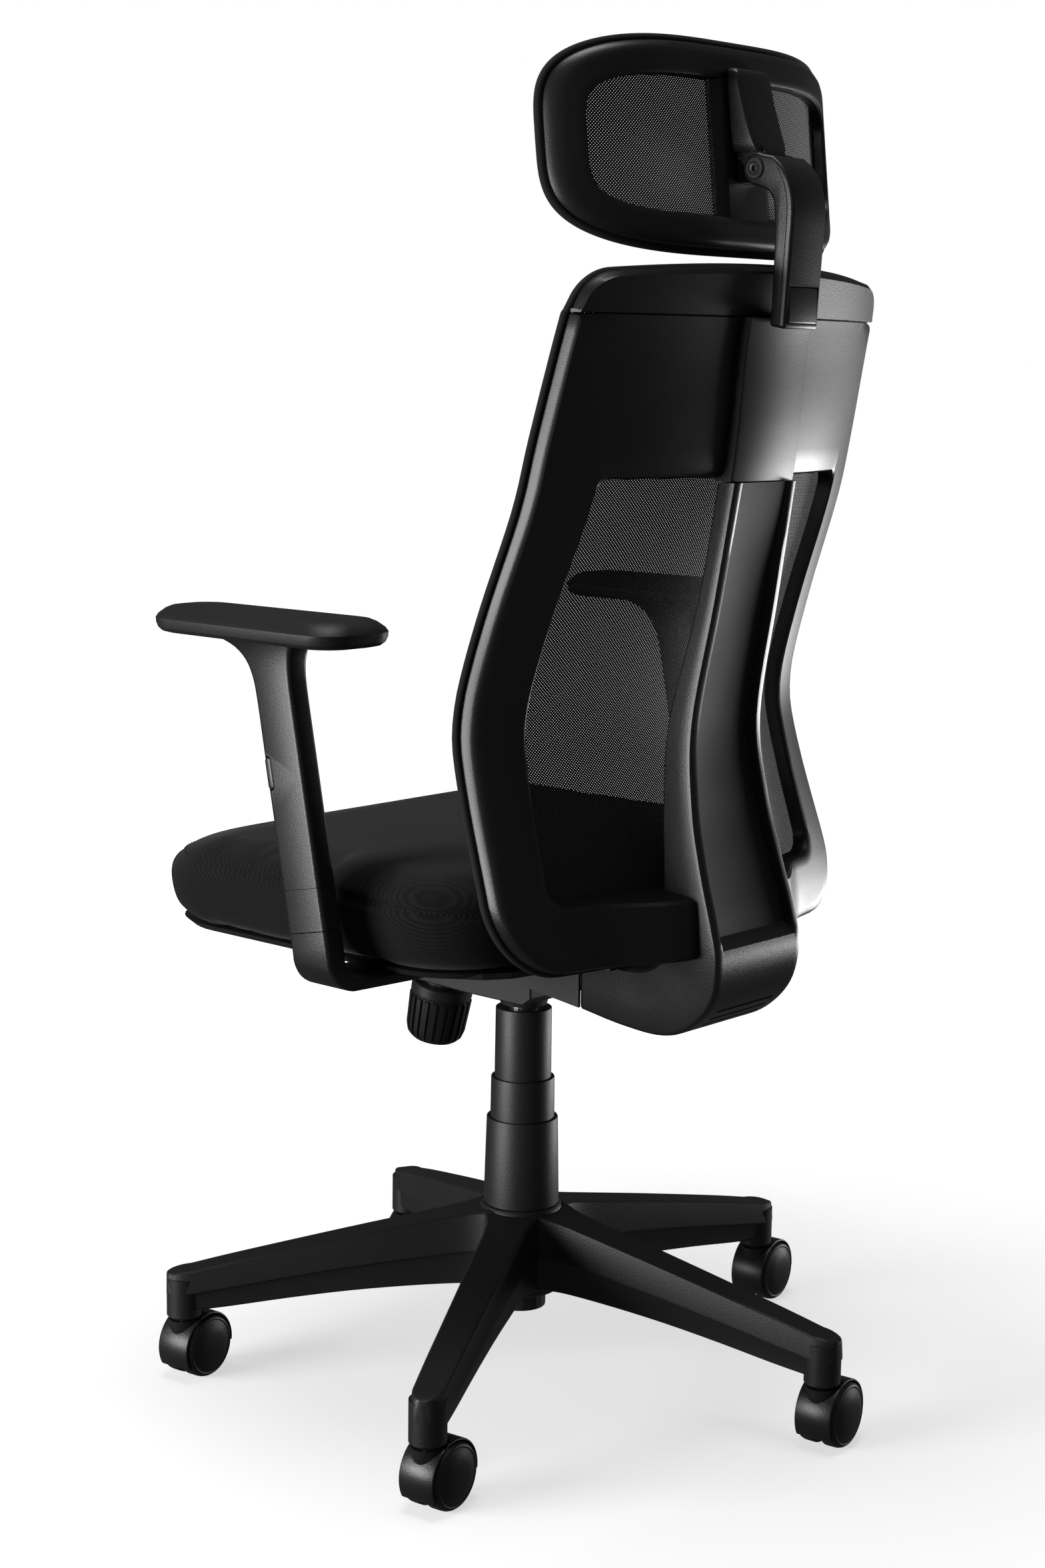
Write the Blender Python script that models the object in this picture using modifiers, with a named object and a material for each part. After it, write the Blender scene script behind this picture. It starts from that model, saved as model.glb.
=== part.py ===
"""Swivel office chair with a mesh back and headrest, as separate pieces on real joints.

Metres, +Z up, the sitter faces -Y and the sitter's left arm is at +X. The pieces are placed from the gas
column's axis, and the root empty puts the middle of the whole chair over the world origin.
"""
import math

import bmesh
import bpy
from mathutils import Matrix, Vector

for old in list(bpy.data.objects):
    bpy.data.objects.remove(old)

# ---- driving dimensions ----------------------------------------------------------------------------------
GAP = 0.0004                  # clearance between pieces that touch
COLUMN_X, COLUMN_Y = 0.0225, -0.0110   # column axis, seen from the middle of the chair

# five-star base and casters
LEGS = 5
LEG_ANGLE = math.radians(27.6)
STEM_CIRCLE = 0.318           # column axis to caster stem
BOSS_RADIUS = 0.0165
HUB_RADIUS = 0.0375
WHEEL_RADIUS = 0.030
BASE_RAISE = 2 * WHEEL_RADIUS - 0.060   # legs and hub stand this much above their height on 60 mm wheels
BOSS_BOTTOM = 0.0608 + BASE_RAISE
LEG_TOP_TIP = 0.106 + BASE_RAISE
HUB_TOP = 0.1715 + BASE_RAISE
HUB_BOTTOM = 0.0870 + BASE_RAISE
WHEEL_WIDTH = 0.0168
WHEEL_GAP = 0.0080            # between the two wheels of a caster
TRAIL = 0.0155                # stem axis to wheel axle
TRAIL_ANGLE = math.radians(186.7)
STEM_RADIUS = 0.0055
STEM_INSERT = 0.024
STEM_TIP_RADIUS, STEM_TIP = 0.0032, 0.0420 + BASE_RAISE   # the stem's thin end, between the wheels
AXLE_RADIUS = 0.003
HOOD_WALL = 0.0017
WHEEL_CLEAR = 0.0010          # around the tread, under the hood

# gas column and its telescopic cover
TUBE_RADIUS = 0.0245
TUBE_BOTTOM, TUBE_TOP = 0.0700, 0.2640
ROD_RADIUS = 0.0140
ROD_BOTTOM, ROD_TOP = 0.1780, 0.3960
VALVE_RADIUS, VALVE_FLOOR = 0.0040, 0.3870
VALVE_BOTTOM, VALVE_TOP = 0.3925, 0.4062
COVER_WALL = 0.0016
COVER_GAP = 0.0007
UPPER_COVER = (0.2700, 0.3604)
MIDDLE_COVER = (0.2260, 0.2937)
LOWER_COVER = (HUB_TOP, 0.2550)

# tilt mechanism under the seat
PIVOT_Y, PIVOT_Z = -0.035, 0.412
PLATE_BOTTOM, PLATE_THICK = 0.4340, 0.0040
PLATE_HALF = 0.0750
FLANGE_INSIDE = 0.0500
FLANGE_THICK = 0.0030
HOUSING_HALF = 0.0480
HOUSING_WALL = 0.0030
PIN_RADIUS = 0.0050
KNOB_AXIS_Y = -0.1035
KNOB_TILT = math.radians(12.0)
KNOB_RADIUS, KNOB_HEIGHT = 0.0300, 0.0590
KNOB_TOP_Z = 0.3670
LEVER_RADIUS = 0.0040
LEVER_Z = 0.3860
LEVER_REACH = 0.2450

# seat
SEAT_HALF_WIDTH = 0.2500
SEAT_FRONT, SEAT_REAR = -0.2800, 0.1500
SEAT_CORNER = 0.0850
SEAT_TOP = 0.5300
PAN_THICK = 0.0055
PAN_INSET = 0.0400

# back: rows of (height, half width, y of the front edge, depth of the curve to the middle)
BACK_ROWS = (
    (0.453, 0.2360, 0.1715, 0.0360),
    (0.503, 0.2345, 0.1607, 0.0420),
    (0.607, 0.2285, 0.1262, 0.0540),
    (0.666, 0.2255, 0.1172, 0.0560),
    (0.743, 0.2220, 0.1370, 0.0570),
    (0.836, 0.2160, 0.1702, 0.0580),
    (0.892, 0.2135, 0.1843, 0.0550),
    (0.972, 0.2065, 0.2035, 0.0430),
    (1.036, 0.2000, 0.2200, 0.0380),
)
FRAME_THICK = 0.0160
FRAME_BAND = 0.0500
BACK_BOTTOM, BACK_TOP = 0.4530, 1.0360
SEAM_HEIGHT = 0.9950
WINDOW_BOTTOM, WINDOW_TOP = 0.5100, 0.8630
BACK_CORNER_LOW, BACK_CORNER_TOP = 0.0600, 0.0280
MESH_THICK = 0.0016
MESH_CLEAR = 0.0024            # in front of the frame, more than the facets' sag
BAND_HALF, BAND_PROUD = 0.0435, 0.0080

# spine: rows of (rear y, rear z, front y, front z, half width, channel depth)
SPINE_ROWS = (
    (0.2640, 0.8580, 0.2465, 0.8580, 0.0435, 0.0030),
    (0.2476, 0.7590, 0.2265, 0.7570, 0.0455, 0.0055),
    (0.2295, 0.6550, 0.2005, 0.6520, 0.0490, 0.0065),
    (0.2362, 0.5850, 0.2020, 0.5800, 0.0550, 0.0065),
    (0.2500, 0.5310, 0.2090, 0.5270, 0.0590, 0.0065),
    (0.2645, 0.4850, 0.2125, 0.4820, 0.0610, 0.0065),
    (0.2705, 0.4550, 0.2130, 0.4640, 0.0610, 0.0),
    (0.2640, 0.4200, 0.2060, 0.4470, 0.0590, 0.0),
    (0.2400, 0.3930, 0.1900, 0.4370, 0.0570, 0.0),
    (0.2069, 0.3795, 0.1700, 0.4335, 0.0550, 0.0),
    (0.1600, 0.3800, 0.1450, 0.4335, 0.0530, 0.0),
    (0.1120, 0.3855, 0.1120, 0.4335, 0.0500, 0.0),
)
SPINE_RIM = 0.0100

# armrests
ARM_X = 0.2750
ARM_LEAN = math.radians(11.6)
ARM_Y, ARM_Z = 0.0045, 0.4760     # foot of the upright, where the post meets the bracket
SLEEVE_WIDE, SLEEVE_DEEP = 0.0220, 0.0450
COLLAR_TALL = 0.0370
SLEEVE_TALL = 0.2300
POST_WIDE, POST_DEEP = 0.0120, 0.0260
BUTTON_Z = 0.1010                 # above the sleeve's lower end
POST_TALL = 0.1700
PAD_HALF_WIDTH, PAD_FRONT, PAD_REAR = 0.0450, -0.1720, 0.0630
PAD_THICK = 0.0240
PAD_TOP = 0.7450
BRACKET_THICK = 0.0115
BRACKET_INNER = 0.0790

# headrest
POST_HALF = 0.0235
POST_BOTTOM = 0.9850
RELEASE_HALF, RELEASE_LOW, RELEASE_HIGH = 0.0200, 0.9900, 1.0195
RELEASE_FRONT, RELEASE_REAR = 0.2890, 0.2950
RELEASE_TRAVEL = 0.0035
HEAD_PIVOT_Y, HEAD_PIVOT_Z = 0.2593, 1.1148
KNUCKLE_RADIUS, KNUCKLE_HALF = 0.0115, 0.0140
HEAD_HALF_WIDTH, HEAD_HALF_HEIGHT = 0.1890, 0.0855
HEAD_MID_Y, HEAD_MID_Z = 0.2200, 1.1320
HEAD_LEAN = math.radians(6.5)
HEAD_WRAP = 0.0530
HEAD_WRAP_POWER = 3.2
HEAD_CORNER_POWER = 0.50
HEAD_BAND = 0.0380
HEAD_SIDE_BAND = 0.0270
HEAD_THICK = 0.0120
HEAD_MULLION = 0.0330
SCREW_RADIUS = 0.0035

CHAIR = bpy.data.collections.new("swivel_office_chair")
CUTTERS = bpy.data.collections.new("cutters")
bpy.context.scene.collection.children.link(CHAIR)
bpy.context.scene.collection.children.link(CUTTERS)


# ---- helpers ---------------------------------------------------------------------------------------------
def material(name, colour, roughness, metallic=0.0):
    made = bpy.data.materials.new(name)
    made.use_nodes = True
    shader = made.node_tree.nodes["Principled BSDF"]
    shader.inputs["Base Color"].default_value = (*colour, 1.0)
    shader.inputs["Roughness"].default_value = roughness
    shader.inputs["Metallic"].default_value = metallic
    return made


def new_piece(name, mesh, finish, parent, location=(0, 0, 0), rotation=(0, 0, 0)):
    """A named object of the chair, placed under its parent empty."""
    piece = bpy.data.objects.new(name, mesh)
    CHAIR.objects.link(piece)
    piece.parent = parent
    piece.location = location
    piece.rotation_euler = rotation
    mesh.materials.clear()
    mesh.materials.append(finish)
    mesh.shade_smooth()
    mesh.set_sharp_from_angle(angle=math.radians(35))
    return piece


def empty(name, parent=None, location=(0, 0, 0), rotation=(0, 0, 0)):
    made = bpy.data.objects.new(name, None)
    CHAIR.objects.link(made)
    made.parent = parent
    made.location = location
    made.rotation_euler = rotation
    return made


def mesh_from(bm, name):
    mesh = bpy.data.meshes.new(name)
    bm.to_mesh(mesh)
    bm.free()
    return mesh


def cylinder_mesh(radius, low, high, sides=24, top_radius=None):
    bm = bmesh.new()
    bmesh.ops.create_cone(bm, cap_ends=True, segments=sides, radius1=radius,
                          radius2=radius if top_radius is None else top_radius, depth=high - low,
                          matrix=Matrix.Translation((0, 0, (low + high) / 2)))
    return mesh_from(bm, "cylinder")


def box_mesh(low, high):
    low, high = Vector(low), Vector(high)
    bm = bmesh.new()
    bmesh.ops.create_cube(bm, size=1.0)
    bmesh.ops.scale(bm, vec=high - low, verts=bm.verts)
    bmesh.ops.translate(bm, vec=(low + high) / 2, verts=bm.verts)
    return mesh_from(bm, "box")


def profile_mesh(profile):
    """A turned shape's closed profile of (radius, height), for a Screw modifier."""
    bm = bmesh.new()
    verts = [bm.verts.new((radius, 0, height)) for radius, height in profile]
    closed = min(radius for radius, height in profile) > 0
    pairs = list(zip(verts, verts[1:])) + ([(verts[-1], verts[0])] if closed else [])
    for pair in pairs:
        bm.edges.new(pair)
    return mesh_from(bm, "profile")


def turned(name, profile, finish, parent, location=(0, 0, 0), rotation=(0, 0, 0), steps=24):
    """Profiles run down the outer side, top to bottom."""
    piece = new_piece(name, profile_mesh(profile), finish, parent, location, rotation)
    screw = piece.modifiers.new("Turn", "SCREW")
    screw.steps = screw.render_steps = steps
    screw.use_merge_vertices = True
    screw.merge_threshold = 0.00001
    return piece


def outline_mesh(points, thickness, plane="XY"):
    """A flat outline of the given thickness, standing on its plane; YZ puts the outline's x on Y."""
    curve = bpy.data.curves.new("outline", "CURVE")
    curve.dimensions = "2D"
    curve.fill_mode = "BOTH"
    curve.extrude = thickness / 2
    line = curve.splines.new("POLY")
    line.points.add(len(points) - 1)
    for point, (across, up) in zip(line.points, points):
        point.co = (across, up, 0, 1)
    line.use_cyclic_u = True
    holder = bpy.data.objects.new("outline", curve)
    CUTTERS.objects.link(holder)
    mesh = bpy.data.meshes.new_from_object(holder.evaluated_get(bpy.context.evaluated_depsgraph_get()))
    bpy.data.objects.remove(holder)
    bm = bmesh.new()
    bm.from_mesh(mesh)
    bmesh.ops.remove_doubles(bm, verts=bm.verts, dist=0.00001)
    if plane == "YZ":
        turn = Matrix(((0, 0, 1, 0), (1, 0, 0, 0), (0, 1, 0, 0), (0, 0, 0, 1)))
        bmesh.ops.transform(bm, matrix=turn, verts=bm.verts)
    bm.to_mesh(mesh)
    bm.free()
    return mesh


def loft_mesh(sections, ring=False):
    """A closed skin through sections that have the same number of points."""
    bm = bmesh.new()
    rows = [[bm.verts.new(point) for point in section] for section in sections]
    count = len(rows[0])
    pairs = list(zip(rows, rows[1:])) + ([(rows[-1], rows[0])] if ring else [])
    for row, after in pairs:
        for i in range(count):
            j = (i + 1) % count
            bm.faces.new((row[i], row[j], after[j], after[i]))
    if not ring:
        bm.faces.new(reversed(rows[0]))
        bm.faces.new(rows[-1])
    bmesh.ops.recalc_face_normals(bm, faces=bm.faces)
    return mesh_from(bm, "loft")


def strip_mesh(rows, closed=False):
    """An open surface through rows of points that faces rearward, for a Solidify modifier."""
    bm = bmesh.new()
    grid = [[bm.verts.new(point) for point in row] for row in rows]
    pairs = list(zip(grid, grid[1:])) + ([(grid[-1], grid[0])] if closed else [])
    for row, after in pairs:
        for i in range(len(row) - 1):
            bm.faces.new((row[i], row[i + 1], after[i + 1], after[i]))
    bm.normal_update()
    if sum(face.normal.y for face in bm.faces) < 0:
        bmesh.ops.reverse_faces(bm, faces=bm.faces)
    return mesh_from(bm, "strip")


def bevel(piece, width, segments=2, angle=35):
    step = piece.modifiers.new("Round", "BEVEL")
    step.width = width
    step.segments = segments
    step.limit_method = "ANGLE"
    step.angle_limit = math.radians(angle)
    step.use_clamp_overlap = True
    return piece


def solidify(piece, thickness, offset=1.0):
    step = piece.modifiers.new("Wall", "SOLIDIFY")
    step.thickness = thickness
    step.offset = offset
    return piece


def boolean(piece, mesh, how="DIFFERENCE", matrix=None):
    """Cut the piece with a mesh given in the piece's own frame, or join that mesh to it."""
    tool = bpy.data.objects.new(piece.name + "_tool", mesh)
    CUTTERS.objects.link(tool)
    tool.parent = piece
    if matrix is not None:
        tool.matrix_local = matrix
    tool.hide_render = True
    tool.display_type = "WIRE"
    step = piece.modifiers.new("Cut" if how == "DIFFERENCE" else "Join", "BOOLEAN")
    step.operation = how
    step.object = tool
    return piece


def smooth_rows(rows, steps):
    """Rows of numbers passed through by a smooth curve, with extra rows in each span."""
    made = []
    for i in range(len(rows) - 1):
        a, b, c, d = rows[max(i - 1, 0)], rows[i], rows[i + 1], rows[min(i + 2, len(rows) - 1)]
        for k in range(steps):
            t = k / steps
            made.append(tuple(
                0.5 * (2 * q + (r - p) * t + (2 * p - 5 * q + 4 * r - s) * t * t
                       + (3 * q - p - 3 * r + s) * t ** 3)
                for p, q, r, s in zip(a, b, c, d)))
    made.append(tuple(rows[-1]))
    return made


BACK_SMOOTH = smooth_rows(BACK_ROWS, 4)


def between(rows, value):
    """The row of numbers at a value of the first column."""
    value = min(max(value, rows[0][0]), rows[-1][0])
    for low, high in zip(rows, rows[1:]):
        if value <= high[0]:
            share = (value - low[0]) / (high[0] - low[0])
            return [p + (q - p) * share for p, q in zip(low, high)]
    return list(rows[-1])


def arc(centre_x, centre_y, radius, start, end, count):
    """Points of an arc, from a start to an end angle in degrees, both included."""
    angles = [math.radians(start + (end - start) * i / (count - 1)) for i in range(count)]
    return [(centre_x + radius * math.cos(a), centre_y + radius * math.sin(a)) for a in angles]


def rounded_rectangle(half_x, low_y, high_y, radius, count=5):
    points = arc(half_x - radius, high_y - radius, radius, 0, 90, count)
    points += arc(-half_x + radius, high_y - radius, radius, 90, 180, count)
    points += arc(-half_x + radius, low_y + radius, radius, 180, 270, count)
    points += arc(half_x - radius, low_y + radius, radius, 270, 360, count)
    return points


# ---- finishes --------------------------------------------------------------------------------------------
def make_finishes():
    return {
        "nylon": material("nylon", (0.012, 0.012, 0.013), 0.42),
        "plastic": material("plastic", (0.014, 0.014, 0.015), 0.38),
        "tread": material("tread", (0.010, 0.010, 0.010), 0.60),
        "steel": material("steel", (0.55, 0.55, 0.56), 0.30, 1.0),
        "black_steel": material("black_steel", (0.020, 0.020, 0.021), 0.35, 0.6),
        "fabric": material("fabric", (0.010, 0.010, 0.011), 0.90),
        "mesh": material("mesh", (0.012, 0.012, 0.013), 0.80),
        "foam_pad": material("foam_pad", (0.013, 0.013, 0.014), 0.55),
    }


# ---- base and casters ------------------------------------------------------------------------------------
def leg_section(distance, share):
    """A leg's section across its length: a flat top, sides that widen to a ledge, and a narrower skirt."""
    top = HUB_TOP - 0.0015 - (HUB_TOP - 0.0015 - LEG_TOP_TIP) * (share * 0.9 + 0.1 * share * share)
    low = BASE_RAISE + 0.0975 - (0.0975 - 0.0700) * share
    ledge = low + (top - low) * 0.52
    half_top = 0.0185 - 0.0055 * share
    half_ledge = 0.0225 - 0.0065 * share
    half_low = half_ledge - 0.0035
    half = [(half_top, top), (half_ledge, ledge), (half_low, ledge - 0.0020), (half_low, low)]
    return [Vector((distance, y, z)) for y, z in half + [(-y, z) for y, z in reversed(half)]]


def star_base(finish, root):
    hub = [(TUBE_RADIUS + GAP, HUB_TOP - GAP), (HUB_RADIUS, HUB_TOP - GAP),
           (HUB_RADIUS + 0.004, HUB_TOP - 0.006), (HUB_RADIUS, HUB_BOTTOM), (TUBE_RADIUS + GAP, HUB_BOTTOM)]
    base = turned("star_base", hub, finish, root, steps=24)
    leg_start, leg_end = HUB_RADIUS - 0.006, STEM_CIRCLE
    for i in range(LEGS):
        turn = Matrix.Rotation(LEG_ANGLE + i * 2 * math.pi / LEGS, 4, "Z")
        sections = [leg_section(leg_start + (leg_end - leg_start) * k / 3, k / 3) for k in range(4)]
        boolean(base, loft_mesh(sections), "UNION", turn)
    for i in range(LEGS):
        angle = LEG_ANGLE + i * 2 * math.pi / LEGS
        place = Matrix.Translation((STEM_CIRCLE * math.cos(angle), STEM_CIRCLE * math.sin(angle), 0))
        boolean(base, cylinder_mesh(BOSS_RADIUS, BOSS_BOTTOM, LEG_TOP_TIP + 0.0006, 14), "UNION", place)
        bore = cylinder_mesh(STEM_RADIUS + GAP, BOSS_BOTTOM - 0.01, BOSS_BOTTOM + STEM_INSERT + GAP, 12)
        boolean(base, bore, "DIFFERENCE", place)
    return base


def caster_hood_outline():
    """Side view of the caster's hood and web, with the axle at (0, 0) and the stem at -TRAIL."""
    return (arc(0, 0, WHEEL_RADIUS + WHEEL_CLEAR + HOOD_WALL, 212, -6, 12)
            + arc(0, 0, 0.0110, -40, -118, 4))


def caster(number, finishes, root):
    """One twin-wheel caster: stem, hood with its axle pin, and two wheels."""
    angle = LEG_ANGLE + number * 2 * math.pi / LEGS
    stem_at = (STEM_CIRCLE * math.cos(angle), STEM_CIRCLE * math.sin(angle), 0)
    label = "caster_%d" % (number + 1)
    swivel = empty(label + "_swivel", root, stem_at, (0, 0, TRAIL_ANGLE))
    shoulder = BOSS_BOTTOM - 0.0034
    turned(label + "_stem", [(0, BOSS_BOTTOM + STEM_INSERT),
                             (STEM_RADIUS, BOSS_BOTTOM + STEM_INSERT - 0.001),
                             (STEM_RADIUS, shoulder),
                             (STEM_TIP_RADIUS, shoulder), (STEM_TIP_RADIUS, STEM_TIP),
                             (0, STEM_TIP)], finishes["steel"], swivel, steps=12)
    # the swivel's x runs to the axle, so the hood's side view lies in its XZ plane
    side = Matrix.Rotation(math.pi / 2, 4, "X")
    axle = Matrix.Translation((TRAIL, 0, WHEEL_RADIUS)) @ side
    width = WHEEL_GAP + 2 * (WHEEL_WIDTH - 0.0030)
    hood = new_piece(label + "_hood", outline_mesh(caster_hood_outline(), width),
                     finishes["plastic"], swivel)
    hood.data.transform(axle)
    boolean(hood, cylinder_mesh(0.0075, 0.0235, BOSS_BOTTOM - 0.0022, 14, top_radius=0.0145), "UNION")
    for low in (WHEEL_GAP / 2, -WHEEL_GAP / 2 - WHEEL_WIDTH):
        clear = cylinder_mesh(WHEEL_RADIUS + WHEEL_CLEAR, low, low + WHEEL_WIDTH, 22)
        boolean(hood, clear, "DIFFERENCE", axle)
    pin_half = WHEEL_GAP / 2 + WHEEL_WIDTH - 0.0060
    boolean(hood, cylinder_mesh(AXLE_RADIUS, -pin_half, pin_half, 12), "UNION", axle)
    boolean(hood, cylinder_mesh(BOSS_RADIUS + 0.0015, BOSS_BOTTOM - 0.0018, BOSS_BOTTOM + 0.0200, 16))
    boolean(hood, cylinder_mesh(STEM_RADIUS + GAP, shoulder - GAP, BOSS_BOTTOM + 0.0210, 12))
    boolean(hood, cylinder_mesh(STEM_TIP_RADIUS + GAP / 2, STEM_TIP - GAP, BOSS_BOTTOM, 12))
    bore, face = AXLE_RADIUS + GAP, WHEEL_WIDTH
    profile = [(0, face + 0.0030), (0.0160, face + 0.0020), (0.0262, face - 0.0030),
               (WHEEL_RADIUS, face - 0.0060), (WHEEL_RADIUS, 0), (bore, 0),
               (bore, face - 0.0060 + GAP), (0, face - 0.0060 + GAP)]
    for side_name, side_sign in (("outer", -1), ("inner", 1)):
        place = (TRAIL, side_sign * (WHEEL_GAP / 2 + GAP), WHEEL_RADIUS)
        turned("%s_wheel_%s" % (label, side_name), profile, finishes["tread"], swivel, place,
               (-side_sign * math.pi / 2, 0, 0), steps=20)


# ---- column ----------------------------------------------------------------------------------------------
def cover(name, low, high, inner_low, inner_high, finish, parent, hole):
    """One tier of the telescopic cover, a thin tapered tube with a lid that has a hole."""
    wall = COVER_WALL
    profile = [(hole, high), (inner_high + wall - 0.001, high), (inner_high + wall, high - 0.001),
               (inner_low + wall, low), (inner_low, low), (inner_high, high - wall), (hole, high - wall)]
    return turned(name, profile, finish, parent, steps=24)


def column(finishes, root, middle, lift):
    floor, bore = TUBE_BOTTOM + 0.004, ROD_RADIUS + GAP
    turned("gas_cylinder", [(0, floor), (bore, floor), (bore, TUBE_TOP), (TUBE_RADIUS - 0.001, TUBE_TOP),
                            (TUBE_RADIUS, TUBE_TOP - 0.001), (TUBE_RADIUS, TUBE_BOTTOM), (0, TUBE_BOTTOM)],
           finishes["black_steel"], root, steps=22)
    turned("gas_rod", [(0, VALVE_FLOOR), (VALVE_RADIUS + GAP, VALVE_FLOOR), (VALVE_RADIUS + GAP, ROD_TOP),
                       (ROD_RADIUS - 0.0015, ROD_TOP), (ROD_RADIUS, ROD_TOP - 0.024),
                       (ROD_RADIUS, ROD_BOTTOM), (0, ROD_BOTTOM)], finishes["steel"], lift, steps=20)
    upper_in = TUBE_RADIUS + COVER_GAP
    cover("cover_upper", *UPPER_COVER, upper_in, upper_in - 0.0004,
          finishes["nylon"], lift, ROD_RADIUS + GAP)
    middle_in = upper_in + COVER_WALL + COVER_GAP + 0.0008
    cover("cover_middle", *MIDDLE_COVER, middle_in + 0.0006, middle_in, finishes["nylon"], middle,
          upper_in + COVER_WALL + COVER_GAP)
    lower_in = middle_in + 0.0006 + COVER_WALL + COVER_GAP + 0.0008
    cover("cover_lower", *LOWER_COVER, lower_in + 0.0020, lower_in, finishes["nylon"], root,
          middle_in + 0.0006 + COVER_WALL + COVER_GAP)


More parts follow.
